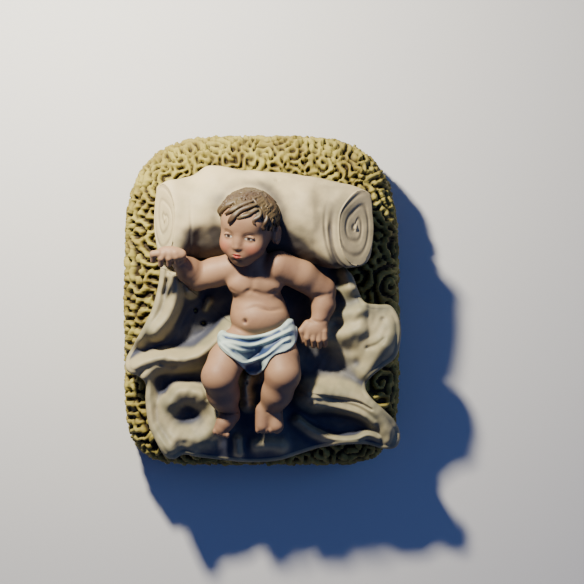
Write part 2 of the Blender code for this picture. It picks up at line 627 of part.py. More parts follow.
def loincloth(shells):
    """The cloth round the hips: a wrap over the tops of the thighs, a knot, and swags laid on it from hip to hip."""
    baby_ball(shells, (-0.4, -4.6, HIP_HEIGHT), (4.8, 1.7, 3.1), 8)
    limb(shells, ((-2.8, -5.2, 4.6), (-3.3, -5.9, 5.2)), (2.6, 2.55))
    limb(shells, ((1.6, -4.8, 4.7), (1.9, -5.6, 5.4)), (2.6, 2.6))
    baby_ball(shells, (-0.9, -6.6, 4.9), (2.2, 2.6, 2.3))
    baby_ball(shells, (-5.0, -4.7, 5.0), (0.75, 0.7, 0.8))
    below = shells.tree()
    (left, left_top), (right, right_top) = SWAG_ENDS
    for level, sag, radius in SWAGS:
        path = []
        for i in range(SWAG_STEPS + 1):
            share = i / SWAG_STEPS
            x = left + (right - left) * share
            y = left_top + (right_top - left_top) * share - level - sag * math.sin(math.pi * share) ** 1.5
            touch = below.ray_cast(on_infant(x, y, OVER_ALL), Vector((0.0, 0.0, -1.0)))[0]
            path.append(touch or on_infant(x, y, HIP_HEIGHT))
        shells.chain(path, drawn([radius] * len(path)))


def baby():
    shells = Shells()
    baby_head(shells)
    baby_hair(shells)
    baby_trunk(shells)
    baby_arms(shells)
    baby_legs(shells)
    loincloth(shells)
    return shells.made("baby")


# Fusing and finishing

def casting_material():
    material = bpy.data.materials.new("painted_casting")
    material.use_nodes = True
    shader = material.node_tree.nodes["Principled BSDF"]
    shader.inputs["Base Color"].default_value = CASTING_COLOUR
    shader.inputs["Roughness"].default_value = CASTING_ROUGHNESS
    shader.inputs["Metallic"].default_value = 0.0
    return material


def joined(parts):
    """The forms as one mesh of overlapping shells."""
    bm = bmesh.new()
    for part in parts:
        bm.from_mesh(part.data)
        if part.matrix_world != Matrix.Identity(4):
            fresh = bm.verts[-len(part.data.vertices):]
            bmesh.ops.transform(bm, matrix=part.matrix_world, verts=fresh)
        bpy.data.objects.remove(part)
    return new_object("forms", bm)


def applied(obj):
    """The object's mesh with its modifiers applied."""
    graph = bpy.context.evaluated_depsgraph_get()
    mesh = bpy.data.meshes.new_from_object(obj.evaluated_get(graph))
    obj.modifiers.clear()
    obj.data = mesh
    return obj


def thinned(obj, group, inverted, spare, wanted):
    """The faces in a vertex group, or outside it, collapsed until so many of the wanted triangles are left."""
    thin = obj.modifiers.new("thin", "DECIMATE")
    thin.vertex_group = group.name
    thin.invert_vertex_group = inverted
    thin.vertex_group_factor = 0.0
    thin.ratio = (spare + wanted) / sum(len(face.vertices) - 2 for face in obj.data.polygons)
    return applied(obj)


def fused(obj):
    """One skin over all the forms, eased a little, then with fewer triangles in the straw and in the rest."""
    remesh = obj.modifiers.new("fuse", "REMESH")
    remesh.mode = "VOXEL"
    remesh.voxel_size = VOXEL
    ease = obj.modifiers.new("ease", "SMOOTH")
    ease.factor = 0.5
    ease.iterations = int(round(SMOOTH_ROUNDS))
    applied(obj)
    straw = obj.vertex_groups.new(name="straw")
    low = {vertex.index for vertex in obj.data.vertices if vertex.co.z < BED_HEIGHT + 0.8 * STRAND_RADIUS}
    straw.add(list(low), 1.0, "REPLACE")
    above = sum(len(face.vertices) - 2 for face in obj.data.polygons if not low.issuperset(face.vertices))
    thinned(obj, straw, False, above, STRAW_TRIANGLES)
    thinned(obj, straw, True, STRAW_TRIANGLES, FIGURE_TRIANGLES)
    obj.vertex_groups.clear()
    return obj


def cut_flat(obj):
    """Everything below the underside cut away, and the cut closed with one flat face."""
    bm = bmesh.new()
    bm.from_mesh(obj.data)
    everything = bm.verts[:] + bm.edges[:] + bm.faces[:]
    cut = bmesh.ops.bisect_plane(
        bm, geom=everything, plane_co=(0.0, 0.0, 0.0), plane_no=(0.0, 0.0, -1.0), clear_outer=True
    )
    rim = [e for e in cut["geom_cut"] if isinstance(e, bmesh.types.BMEdge)]
    bmesh.ops.holes_fill(bm, edges=rim)
    bmesh.ops.triangulate(bm, faces=bm.faces[:])
    bmesh.ops.recalc_face_normals(bm, faces=bm.faces)
    bm.to_mesh(obj.data)
    bm.free()
    return obj


def centred(obj):
    """The casting moved on its underside so that the middle of its box is over the origin."""
    corners = np.array([vertex.co for vertex in obj.data.vertices])
    middle = (corners.min(axis=0) + corners.max(axis=0)) / 2.0
    obj.data.transform(Matrix.Translation((-middle[0], -middle[1], 0.0)))
    return obj


for old in list(bpy.data.objects):
    bpy.data.objects.remove(old)

forms = bpy.data.collections.new("figurine")
bpy.context.scene.collection.children.link(forms)

bed = BedSurface()
casting = joined([bed_core(bed), straw_strands(bed), draped_cloth(), *bolster(), baby()])
casting = centred(cut_flat(fused(casting)))
casting.name = NAME
casting.data.name = NAME
casting.data.materials.clear()
casting.data.materials.append(casting_material())
casting.data.shade_smooth()
casting.data.set_sharp_from_angle(angle=math.radians(SHARP_DEGREES))
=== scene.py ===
# %% [markdown]
# # A small painted casting on a straw bed
#
# The real object is one casting, about 36 mm wide and 43 mm long. Straw, cloth, roll and child come out of
# one mould, and a brush tells them apart: yellow straw with dark gaps, cream cloth, warm skin, brown hair
# and a pale wrap round the hips. Here each painted region is a piece of its own, so that each can have its
# own finish.
#
# All shapes are worked out in millimetres with numpy. Heights are counted from the top of the straw bed,
# and a point becomes metres only when it goes into a mesh.

import math

import bpy
import numpy as np
from mathutils import Matrix, Vector


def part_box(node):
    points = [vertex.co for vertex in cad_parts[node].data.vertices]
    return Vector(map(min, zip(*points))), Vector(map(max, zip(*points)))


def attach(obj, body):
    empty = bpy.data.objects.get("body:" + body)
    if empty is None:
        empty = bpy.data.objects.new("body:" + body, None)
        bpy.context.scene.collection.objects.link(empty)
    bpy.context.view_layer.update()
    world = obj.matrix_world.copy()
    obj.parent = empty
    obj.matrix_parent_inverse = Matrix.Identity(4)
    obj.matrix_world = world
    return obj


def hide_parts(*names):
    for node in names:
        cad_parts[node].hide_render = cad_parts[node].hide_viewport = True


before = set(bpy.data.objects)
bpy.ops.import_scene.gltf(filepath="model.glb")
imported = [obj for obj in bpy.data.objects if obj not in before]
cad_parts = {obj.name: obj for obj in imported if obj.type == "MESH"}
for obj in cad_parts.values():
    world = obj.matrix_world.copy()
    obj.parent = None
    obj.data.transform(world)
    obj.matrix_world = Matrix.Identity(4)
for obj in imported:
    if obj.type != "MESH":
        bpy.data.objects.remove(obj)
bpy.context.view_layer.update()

NODE = "baby_on_straw_bed"
MM = 0.001
low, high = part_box(NODE)
BOX_WIDTH, BOX_LENGTH, BOX_HEIGHT = ((h - l) / MM for l, h in zip(low, high))
print(f"the casting's box: {BOX_WIDTH:.2f} x {BOX_LENGTH:.2f} x {BOX_HEIGHT:.2f} mm")

# %% [markdown]
# The bed's own size follows from that box. Its outline is 0.2 mm narrower and 0.1 mm shorter than the box,
# because the strands of straw stand proud of it, and the strands' core lies about half a millimetre inside
# the outline. The child's knees and face reach 12 mm above the bed's top. The bed is rounder at the head
# end, so its outline's power is lower there.

# %% Sizes of the bed
STRAND_PROUD = 0.1
BED_WIDTH = BOX_WIDTH - 2 * STRAND_PROUD
BED_LENGTH = BOX_LENGTH - STRAND_PROUD
BED_HEIGHT = 9.6
BED_EDGE_ROUND = 3.4
CORE_INSET = 0.55
HEAD_END_POWER = 4.0
FOOT_END_POWER = 7.0
print(f"the bed: {BED_WIDTH:.1f} x {BED_LENGTH:.1f} x {BED_HEIGHT:.1f} mm")

# %% [markdown]
# ## Turning arrays into meshes
#
# Two helpers make every mesh. One takes corner points and faces as they are. The other takes rows of rings,
# a surface given by two parameters, and joins neighbours with quads. Each ring wraps round to its start,
# and a fan to a middle point closes the first and the last ring, so no piece has a hole.

# %% Mesh helpers
def new_piece(name, points, faces):
    """An object from points in millimetres over the bed's top, and faces as lists of point numbers."""
    points = np.asarray(points, float) + (0.0, 0.0, BED_HEIGHT)
    mesh = bpy.data.meshes.new(name)
    mesh.from_pydata((points * MM).tolist(), [], [list(map(int, face)) for face in faces])
    mesh.polygons.foreach_set("use_smooth", np.ones(len(mesh.polygons), bool))
    mesh.update()
    piece = bpy.data.objects.new(name, mesh)
    bpy.context.scene.collection.objects.link(piece)
    return piece


def closed_skin(rings, first_middle, last_middle, turned=False):
    """Quads join ring point (i, j) with (i + 1, j), (i + 1, j + 1) and (i, j + 1), and a fan closes each end.

    The two middle points come last. With turned, every face runs the other way round, to look outwards.
    """
    rows, columns = rings.shape[:2]
    j = np.arange(columns)
    after = (j + 1) % columns
    row = np.arange(rows - 1)[:, None] * columns
    below = row + columns
    corners = np.broadcast_arrays(row + j, below + j, below + after, row + after)
    quads = np.stack(corners, axis=-1).reshape(-1, 4)
    last = (rows - 1) * columns
    first_fan = np.stack([j, after, np.full(columns, rows * columns)], axis=1)
    last_fan = np.stack([last + j, np.full(columns, rows * columns + 1), last + after], axis=1)
    faces = []
    for part in (quads, first_fan, last_fan):
        faces += (part[:, ::-1] if turned else part).tolist()
    return np.concatenate([rings.reshape(-1, 3), [first_middle, last_middle]]), faces


def paint(piece, name, values):
    """A number on every vertex, zero where none is given, which the piece's material reads by its name."""
    layer = piece.data.attributes.new(name, "FLOAT", "POINT")
    given = np.zeros(len(piece.data.vertices), np.float32)
    given[:np.size(values)] = np.ravel(values)
    layer.data.foreach_set("value", given)


def report(piece):
    mesh = piece.data
    triangles = sum(len(face.vertices) - 2 for face in mesh.polygons)
    print(f"{piece.name}: {len(mesh.vertices)} points, {triangles} triangles")


# %% [markdown]
# A few small tools for the forms: a smooth line through chosen points, the distance from points to such a
# line, a step that eases in and out, and a seeded noise that is smooth at a given scale.

# %% Tools for forms
def smooth_line(points, steps=6):
    """A Catmull-Rom curve: between two points it follows a cubic whose slope is set by their neighbours."""
    p = np.array([points[0], *points, points[-1]], float)
    u = (np.arange(steps) / steps)[None, :, None]
    a, b, c, d = (p[i:len(p) - 3 + i, None, :] for i in range(4))
    bend = (2 * a - 5 * b + 4 * c - d) * u ** 2 + (3 * b - a - 3 * c + d) * u ** 3
    curve = 0.5 * (2 * b + (c - a) * u + bend)
    return np.concatenate([curve.reshape(-1, p.shape[1]), p[-1:]])


def distance_to_line(points, line):
    """The least distance from each point to the line's straight pieces, and how far along that is."""
    best = np.full(points.shape[:-1], 1e9)
    along = np.zeros(points.shape[:-1])
    count = len(line) - 1
    for k in range(count):
        run = line[k + 1] - line[k]
        share = np.clip(((points - line[k]) @ run) / max(run @ run, 1e-9), 0.0, 1.0)
        away = np.linalg.norm(points - line[k] - share[..., None] * run, axis=-1)
        nearer = away < best
        best = np.where(nearer, away, best)
        along = np.where(nearer, (k + share) / count, along)
    return best, along


def ease(x, start, end):
    """Zero before start, one after end, and 3t^2 - 2t^3 between them."""
    t = np.clip((x - start) / (end - start), 0.0, 1.0)
    return t * t * (3.0 - 2.0 * t)


def soft_noise(points, scale, seed):
    """Noise between about -1 and 1: the sum of twelve sine waves of one length in seeded directions."""
    rng = np.random.default_rng(seed)
    points = np.asarray(points, float)
    total = np.zeros(points.shape[:-1])
    for _ in range(12):
        ray = rng.normal(size=points.shape[-1])
        ray *= 2.0 * math.pi / (np.linalg.norm(ray) * scale * rng.uniform(0.7, 1.6))
        total += np.sin(points @ ray + rng.uniform(0.0, 2.0 * math.pi))
    return total / math.sqrt(24.0)


# %% [markdown]
# ## The straw bed
#
# The bed is a block of modelled straw with a rounded top edge. Its outline is a superellipse, rounder at
# the head end. A place on it is given by two lengths: the way round the outline, and the way up the wall
# and over the edge.

# %% The bed's outline and the way over its edge
def outline(count):
    """Even points round |x/a|^n + |y/b|^n = 1 and the outward normals, with n chosen for each end."""
    angle = np.linspace(0.0, 2.0 * math.pi, 6001)[:-1]
    power = np.where(np.sin(angle) >= 0.0, HEAD_END_POWER, FOOT_END_POWER)
    sides = [(BED_WIDTH / 2 - CORE_INSET, np.cos(angle)), (BED_LENGTH / 2 - CORE_INSET, np.sin(angle))]
    ring = np.stack([half * np.sign(wave) * np.abs(wave) ** (2.0 / power) for half, wave in sides], axis=1)
    closed = np.vstack([ring, ring[:1]])
    along = np.concatenate([[0.0], np.cumsum(np.linalg.norm(np.diff(closed, axis=0), axis=1))])
    wanted = np.arange(count) * along[-1] / count
    even = np.stack([np.interp(wanted, along, closed[:, i]) for i in range(2)], axis=1)
    tangent = np.roll(even, -1, axis=0) - np.roll(even, 1, axis=0)
    tangent /= np.linalg.norm(tangent, axis=1)[:, None]
    return even, np.stack([tangent[:, 1], -tangent[:, 0]], axis=1), along[-1]


RING, RING_NORMALS, AROUND = outline(720)
print(f"once round the bed: {AROUND:.1f} mm")


def over_the_edge(t):
    """Inset, height and slope at distance t up the wall, round a quarter circle, and in over the top."""
    wall = BED_HEIGHT - BED_EDGE_ROUND
    quarter = 0.5 * math.pi * BED_EDGE_ROUND
    turn = np.clip((t - wall) / BED_EDGE_ROUND, 0.0, 0.5 * math.pi)
    inset = BED_EDGE_ROUND * (1.0 - np.cos(turn)) + np.maximum(t - wall - quarter, 0.0)
    height = np.minimum(t, wall) + BED_EDGE_ROUND * np.sin(turn) - BED_HEIGHT
    return inset, height, turn


def on_the_bed(s, t):
    """The core's point and outward normal at distance s round the outline and t over the edge."""
    place = (s / AROUND) % 1.0 * len(RING)
    first = place.astype(int) % len(RING)
    share = (place - np.floor(place))[..., None]
    second = (first + 1) % len(RING)
    flat = RING[first] * (1 - share) + RING[second] * share
    out = RING_NORMALS[first] * (1 - share) + RING_NORMALS[second] * share
    inset, height, turn = over_the_edge(t)
    point = np.concatenate([flat - out * inset[..., None], height[..., None]], axis=-1)
    normal = np.concatenate([out * np.cos(turn)[..., None], np.sin(turn)[..., None]], axis=-1)
    return point, normal


# %% [markdown]
# The straw is a crowd of short curls, hooks and coils of modelling paste, about 0.8 mm thick, packed so
# closely that only dark cracks are left between them. Hundreds of loose tubes would cross each other and
# leave holes. So the curls grow as one relief: seeded noise is sharpened at one wavelength again and again,
# and winds itself into worms that never cross, as on brain coral. A few coils are set into the noise first,
# and the worms grow round them. A second, coarser noise cuts the worms into short curls. The relief is made
# on flat paper, and the paper is then wrapped over the edge of the bed.

# %% The relief of the straw, on flat paper
CURL_SPACING = 1.2
PAPER_STEP = 0.1
PAPER_HALF = (31.0, 38.0)
CURL_DEPTH = 0.9
COILS = 150
SHARPENINGS = 4
CUT_SPACING = 3.1
CUT_DEPTH = 0.9
CUT_HALF_WIDTH = 0.16
GAP_LEVEL = -0.7
FINER_AT_THE_HEAD = 0.22


def ring_filtered(field, spacing, width):
    """Only waves of about the given spacing are left: the Fourier plane times exp(-((f s - 1) / w)^2)."""
    frequency = np.hypot(*np.meshgrid(*(np.fft.fftfreq(n, PAPER_STEP) for n in field.shape), indexing="ij"))
    band = np.exp(-((frequency * spacing - 1.0) / width) ** 2)
    made = np.fft.ifft2(np.fft.fft2(field) * band).real
    return made / made.std()


def straw_paper(seed):
    """Worms: noise filtered and flattened by tanh over and over, then cut where a coarser noise is zero."""
    rng = np.random.default_rng(seed)
    shape = [int(2 * half / PAPER_STEP) for half in PAPER_HALF]
    x, y = (np.arange(n) * PAPER_STEP - half for n, half in zip(shape, PAPER_HALF))
    field = rng.normal(size=shape)
    for _ in range(COILS):
        cx, cy = rng.uniform(-1.0, 1.0, 2) * PAPER_HALF
        away = np.hypot(x[:, None] - cx, y[None, :] - cy)
        angle = np.arctan2(y[None, :] - cy, x[:, None] - cx)
        near = away < rng.uniform(0.9, 1.5)
        hand = rng.choice((-1.0, 1.0))
        wound = np.cos(2.0 * math.pi * away / CURL_SPACING + hand * angle + rng.uniform(0, 6.28))
        field[near] = 3.0 * wound[near]
    for _ in range(SHARPENINGS):
        field = np.tanh(1.5 * ring_filtered(field, CURL_SPACING, 0.34))
    field = ring_filtered(field, CURL_SPACING, 0.5) / 1.25
    cuts = ring_filtered(rng.normal(size=shape), CUT_SPACING, 0.35)
    return field - CUT_DEPTH * np.exp(-(cuts / CUT_HALF_WIDTH) ** 2)


PAPER = straw_paper(8)
print(f"relief {PAPER.shape}, from {PAPER.min():.2f} to {PAPER.max():.2f}")

# %% The bed's mesh
BED_ROWS, BED_COLUMNS = 92, 1060
REACH = 14.6
FOLD_AT = 8.9
UNDER_THE_CLOTH = -0.4


def on_paper(s, t):
    """The relief at a place of the bed: the paper lies on the outline at FOLD_AT and spreads out below it."""
    place = s / AROUND * len(RING)
    first = place.astype(int) % len(RING)
    flat = RING[first] - RING_NORMALS[first] * (t - FOLD_AT)[..., None]
    flat = flat + 0.22 * np.stack([soft_noise(flat, 1.9, 31), soft_noise(flat, 1.9, 32)], axis=-1)
    flat = flat * (1.0 + FINER_AT_THE_HEAD * ease(flat[..., 1:], 6.0, 24.0))
    spot = (flat + PAPER_HALF) / PAPER_STEP
    low = np.clip(np.floor(spot).astype(int), 0, np.array(PAPER.shape) - 2)
    share = np.clip(spot - low, 0.0, 1.0)
    (i, j), (u, v) = np.moveaxis(low, -1, 0), np.moveaxis(share, -1, 0)
    return ((PAPER[i, j] * (1 - u) + PAPER[i + 1, j] * u) * (1 - v)
            + (PAPER[i, j + 1] * (1 - u) + PAPER[i + 1, j + 1] * u) * v)


def straw_bed():
    """Rows from the underside over the edge, raised along the normal by the curls."""
    s, t = np.meshgrid(np.arange(BED_COLUMNS) * AROUND / BED_COLUMNS, np.linspace(0.0, REACH, BED_ROWS))
    point, normal = on_the_bed(s, t)
    curl = on_paper(s, t)
    gap = GAP_LEVEL - 0.5 * ease(point[..., 1], 14.0, 18.0) + 0.2 * soft_noise(point, 2.2, 16)
    round_top = np.sqrt(np.clip((curl - gap) / (1.0 - gap), 0.0, 1.0))
    lumps = 0.5 + 0.5 * soft_noise(point, 1.8, 14)
    height = CURL_DEPTH * round_top * (0.66 + 0.42 * lumps) + 0.03 * soft_noise(point, 0.7, 15)
    height *= 0.25 + 0.75 * ease(t, 0.0, 0.5)
    point = point + normal * (height - 0.1)[..., None]
    point[0, :, 2] = -BED_HEIGHT
    ends = ((0.0, 0.0, -BED_HEIGHT), (0.0, 0.0, UNDER_THE_CLOTH))
    piece = new_piece("straw_bed", *closed_skin(point, *ends, turned=True))
    paint(piece, "height", height)
    return piece


straw = straw_bed()
report(straw)

# %% [markdown]
# ## The draped cloth
#
# The cloth is heaped in heavy, rounded folds over the bed. It is one surface over a ring-shaped grid: rings
# grow from the middle to the hem, and a height stands over each place. The height is a soft maximum of fold
# crests, so that crossing folds flow into each other as wet plaster cloth does, plus swells where it is
# heaped up under the body, less hollows. Past the hem the surface turns over its rounded edge and tucks in
# below.

# %% The hem, the folds and the swells, in millimetres on the bed
HEM = (
    (-12.9, 4.3), (-13.2, 2.0), (-13.9, -0.8), (-14.9, -3.0), (-16.4, -5.6), (-17.4, -7.4), (-17.3, -9.0),
    (-15.9, -9.7), (-14.9, -10.7), (-14.9, -13.0), (-14.5, -16.0), (-13.5, -18.2), (-12.4, -20.0),
    (-11.3, -20.5),
    (-9.9, -19.9), (-8.0, -20.3), (-5.0, -20.7), (-1.5, -21.0), (2.0, -20.8), (5.0, -19.9), (7.5, -19.1),
    (10.5, -18.6), (13.5, -18.6), (16.0, -19.2), (17.5, -18.9), (18.0, -17.4), (17.3, -15.6), (15.8, -14.0),
    (14.2, -12.5), (13.5, -11.2), (14.2, -9.9), (15.8, -8.6), (17.4, -7.3), (18.0, -5.0), (17.9, -2.6),
    (16.8, -0.7), (15.0, -0.5), (13.4, -0.2), (12.5, 1.4), (11.8, 3.2), (10.6, 4.6), (9.0, 7.0),
    (0.0, 9.0), (-9.0, 7.5),
)
CLOTH_RISE = 1.1
CLOTH_FOLLOWS = 0.6

# Each fold: the line of its crest, its height, and half its width on the left and on the right of that line
FOLDS = (
    (((-12.5, 3.9), (-13.0, 1.2), (-13.6, -1.2), (-14.5, -3.2), (-15.8, -4.5)), 3.3, 1.6, 1.3),
    (((-11.0, 3.0), (-10.9, 1.2), (-11.3, -0.6), (-12.0, -2.2), (-13.6, -4.0)), 4.1, 1.2, 2.0),
    (((-11.0, 3.0), (-9.9, 2.2), (-9.3, 1.2)), 3.3, 1.0, 1.2),
    (((-6.8, -0.1), (-7.2, -1.1)), 1.2, 0.5, 0.6),
    (((-4.2, -3.6), (-6.2, -5.6), (-8.1, -7.1), (-10.5, -7.6), (-12.6, -7.4), (-14.6, -7.9), (-16.4, -8.7)),
     3.4, 1.6, 1.3),
    (((-12.4, -8.1), (-13.8, -8.8), (-14.9, -9.6)), 2.7, 1.2, 1.2),
    (((-14.8, -8.6), (-14.5, -10.4), (-14.4, -12.8), (-14.1, -15.4), (-13.1, -17.6), (-11.9, -19.5)),
     2.0, 1.2, 0.8),
    (((-11.6, -13.0), (-10.6, -11.9), (-9.0, -11.8), (-7.6, -12.2)), 2.8, 1.2, 2.6),
    (((-12.4, -13.6), (-12.4, -15.6), (-11.2, -17.2), (-8.8, -17.8), (-6.8, -16.8), (-5.8, -14.9),
      (-6.3, -12.9)), 1.7, 2.2, 1.6),
    (((-11.3, -17.4), (-11.6, -19.4)), 1.3, 0.9, 0.9),
    (((-9.0, -18.2), (-8.6, -19.4)), 1.0, 0.9, 0.9),
    (((-3.0, -18.0), (-2.9, -19.7)), 1.4, 0.6, 0.6),
    (((-0.6, -18.7), (1.0, -18.6), (2.6, -18.8)), 1.2, 1.0, 1.0),
    (((-1.7, -10.2), (-1.9, -11.2), (-1.8, -12.2)), 4.2, 0.9, 0.9),
    (((-1.8, -12.2), (-1.7, -13.4)), 3.0, 1.0, 1.0),
    (((11.2, 3.5), (11.4, 2.4), (11.5, 1.8)), 2.7, 1.7, 1.1),
    (((12.6, -1.3), (11.0, -1.7), (9.4, -2.1)), 0.5, 1.0, 0.9),
    (((12.8, -3.8), (10.8, -4.4), (8.8, -5.0)), 0.7, 1.0, 1.0),
    (((15.8, -6.1), (14.7, -7.6), (13.5, -9.4)), 1.4, 1.3, 1.5),
    (((6.4, -11.9), (9.8, -12.0), (12.6, -12.8), (15.0, -14.6), (16.6, -16.8), (17.0, -18.0)), 3.0, 1.9, 1.7),
    (((7.0, -13.3), (9.8, -13.7), (12.6, -14.5), (14.6, -15.7)), 2.8, 1.2, 0.9),
    (((4.8, -15.5), (7.0, -16.9), (9.6, -17.9), (12.2, -17.9), (13.8, -17.3), (15.2, -17.8)), 1.9, 0.6, 0.9),
)

# Each swell or, with a rise below zero, each hollow: its middle, its rise, and half its width along x and
# along y
SWELLS = (
    ((-0.8, 1.5), 1.9, 2.6, 3.4),
    ((-0.4, -4.5), 1.6, 3.6, 2.6),
    ((-1.2, -8.6), 2.4, 3.4, 2.0),
    ((-7.0, 3.4), 1.6, 2.4, 1.2),
    ((7.4, 0.6), 1.6, 1.4, 2.4),
    ((7.2, -3.9), 1.9, 1.7, 1.5),
    ((1.0, -15.2), 1.5, 1.7, 1.5),
    ((-4.3, -14.9), 1.3, 1.2, 1.4),
    ((13.2, -0.9), 0.9, 1.4, 1.2),
    ((6.6, -12.6), 1.9, 1.9, 1.5),
    ((15.0, -3.9), 2.0, 4.6, 4.4),
    ((11.6, -3.2), 1.3, 2.6, 3.8),
    ((17.6, -4.2), 1.7, 1.8, 3.4),
    ((-9.4, -14.5), -1.2, 1.6, 1.2),
    ((-8.2, -2.6), -1.2, 2.8, 1.8),
    ((-12.9, -11.0), -0.6, 0.9, 1.4),
    ((10.0, -15.9), -1.0, 4.2, 1.0),
    ((8.0, -8.4), -0.4, 2.4, 1.6),
    ((9.9, -3.0), -0.5, 1.0, 0.6),
    ((11.3, -6.3), -0.35, 0.9, 0.6),
    ((12.5, -8.0), -0.35, 0.7, 0.6),
    ((15.7, -2.4), -0.3, 0.32, 0.3),
    ((-9.9, -18.3), -0.4, 0.7, 0.5),
    ((-11.4, -18.8), 1.2, 2.2, 1.8),
    ((-7.0, -18.6), 0.5, 1.8, 1.4),
)

# Each crease: its line, its depth and its half width. The last three are pinholes left by bubbles in the
# casting.
CREASES = (
    (((-12.1, 2.6), (-12.2, 1.8), (-12.5, 0.9)), 0.5, 0.28),
    (((6.2, -11.9), (9.2, -12.6), (12.2, -13.0), (14.2, -14.0)), 0.3, 0.2),
    (((15.8, -5.0), (14.9, -5.7), (13.7, -6.1)), 0.3, 0.25),
    (((13.9, -0.9), (13.8, -2.9), (14.0, -4.6)), 0.12, 0.3),
    (((-13.5, -13.9), (-13.6, -15.5)), 0.15, 0.4),
    (((-12.9, -8.2), (-11.9, -8.5), (-11.0, -8.4)), 0.4, 0.3),
    (((-7.4, -11.2), (-6.9, -12.6)), 0.3, 0.25),
    (((-8.5, -1.2), (-8.5, -1.3)), 1.3, 0.19),
    (((-7.5, -2.9), (-7.4, -3.0)), 1.3, 0.24),
    (((-1.8, -10.5), (-1.8, -10.6)), 0.8, 0.16),
)


# %% The height of the cloth
CREST_SHARPNESS = 2.6
DEEPEST_HOLLOW = 0.25
HOLLOW_SHARPNESS = 5.0


def bed_drop(x, y):
    """How far the bed's top has rounded away: r - (r^2 - (r - inset)^2)^(1/2), inset from the outline."""
    power = np.where(y >= 0.0, HEAD_END_POWER, FOOT_END_POWER)
    level = (np.abs(x / (BED_WIDTH / 2)) ** power + np.abs(y / (BED_LENGTH / 2)) ** power) ** (1.0 / power)
    inset = np.clip((1.0 - level) * BED_WIDTH / 2, 0.02, BED_EDGE_ROUND)
    return BED_EDGE_ROUND - np.sqrt(np.maximum(BED_EDGE_ROUND ** 2 - (BED_EDGE_ROUND - inset) ** 2, 0.0))


def fold_height(flat, line, height, left, right):
    """A crest that falls as exp(-(d / w)^2) with the distance d, and has its own width w on each side."""
    path = smooth_line(line)
    best = np.full(len(flat), 1e9)
    side = np.zeros(len(flat))
    for start, end in zip(path, path[1:]):
        run = end - start
        offset = flat - start
        share = np.clip((offset @ run) / max(run @ run, 1e-9), 0.0, 1.0)
        away = np.linalg.norm(offset - share[:, None] * run, axis=1)
        turn = run[0] * offset[:, 1] - run[1] * offset[:, 0]
        nearer = away < best
        best = np.where(nearer, away, best)
        side = np.where(nearer, turn, side)
    width = right + (left - right) * ease(side, -0.5, 0.5)
    return height * np.exp(-(best / width) ** 2)


def cloth_height(x, y):
    """The soft maximum log(sum(exp(k f)) - n + 1) / k of the folds f, plus swells, over the cloth's rise.

    A second soft maximum keeps every hollow from going deeper than DEEPEST_HOLLOW.
    """
    flat = np.stack([x.ravel(), y.ravel()], axis=1)
    crest = np.ones(len(flat))
    for line, height, left, right in FOLDS:
        crest += np.exp(CREST_SHARPNESS * fold_height(flat, line, height, left, right)) - 1.0
    raised = (np.log(crest) / CREST_SHARPNESS).reshape(x.shape)
    for (cx, cy), rise, half_x, half_y in SWELLS:
        raised += rise * np.exp(-((x - cx) / half_x) ** 2 - ((y - cy) / half_y) ** 2)
    eased = np.logaddexp(0.0, HOLLOW_SHARPNESS * (raised + DEEPEST_HOLLOW)) / HOLLOW_SHARPNESS
    height = CLOTH_RISE + eased - DEEPEST_HOLLOW
    for line, depth, width in CREASES:
        away, _ = distance_to_line(flat, smooth_line(line, 3))
        height -= depth * np.exp(-(away / width) ** 2).reshape(x.shape)
    return height


# %% The cloth's mesh
CLOTH_MIDDLE = np.array((0.0, -6.0))
CLOTH_UNDERSIDE = -2.2
HEM_ROUND = 0.55
LOW_PAINTED_SHADE = 0.45


def blurred(values, rounds):
    """Each value averaged with its neighbours on the ring grid, over and over."""
    for _ in range(rounds):
        side = 0.5 * (np.roll(values, 1, axis=1) + np.roll(values, -1, axis=1))
        inner = np.vstack([values[:1], values[:-1]])
        outer = np.vstack([values[1:], values[-1:]])
        values = 0.4 * values + 0.3 * side + 0.15 * (inner + outer)
    return values


def draped_cloth():
    """Rings middle + share * (hem - middle), which follow a half circle round the edge past the hem.

    The wash, partly painted shade, gathers where a place lies lower than its surroundings, and painted
    shade darkens it a little more wherever the cloth lies low.
    """
    hem = smooth_line((*HEM, HEM[0]), 11)[:-1]
    outward = np.roll(hem, -1, axis=0) - np.roll(hem, 1, axis=0)
    outward = np.stack([outward[:, 1], -outward[:, 0]], axis=1)
    outward /= np.linalg.norm(outward, axis=1, keepdims=True)
    if (outward * (hem - CLOTH_MIDDLE)).sum() < 0:
        outward = -outward
    hem = hem - HEM_ROUND * outward
    inner = np.linspace(0.004, 1.0, 120)
    flat = CLOTH_MIDDLE + inner[:, None, None] * (hem - CLOTH_MIDDLE)
    x, y = flat[..., 0], flat[..., 1]
    rise = cloth_height(x, y)
    z = rise - CLOTH_FOLLOWS * bed_drop(x, y)
    grain = 0.035 * soft_noise(flat, 1.1, 4) + 0.06 * soft_noise(flat, 2.8, 5)
    top = np.stack([x, y, z + grain], axis=-1)
    rounds = []
    for angle in np.linspace(0.0, math.pi, 9)[1:]:
        reach = HEM_ROUND * math.sin(angle)
        drop = HEM_ROUND * (1.0 - math.cos(angle))
        rounds.append(np.concatenate([hem + outward * reach, (top[-1, :, 2] - drop)[:, None]], axis=1))
    under = np.concatenate([hem, (CLOTH_UNDERSIDE - bed_drop(*hem.T))[:, None]], axis=1)
    rings = np.concatenate([top, np.array(rounds), under[None]])
    ends = rings[0].mean(axis=0), (*CLOTH_MIDDLE, CLOTH_UNDERSIDE)
    piece = new_piece("draped_cloth", *closed_skin(rings, *ends))
    # Painted shade: the wash is made darker where the cloth lies low, on top of the wash in its hollows.
    paint(piece, "hollow", blurred(rise, 60) - rise + LOW_PAINTED_SHADE * ease(-rise, -2.9, -1.2))
    return piece


cloth = draped_cloth()
report(cloth)

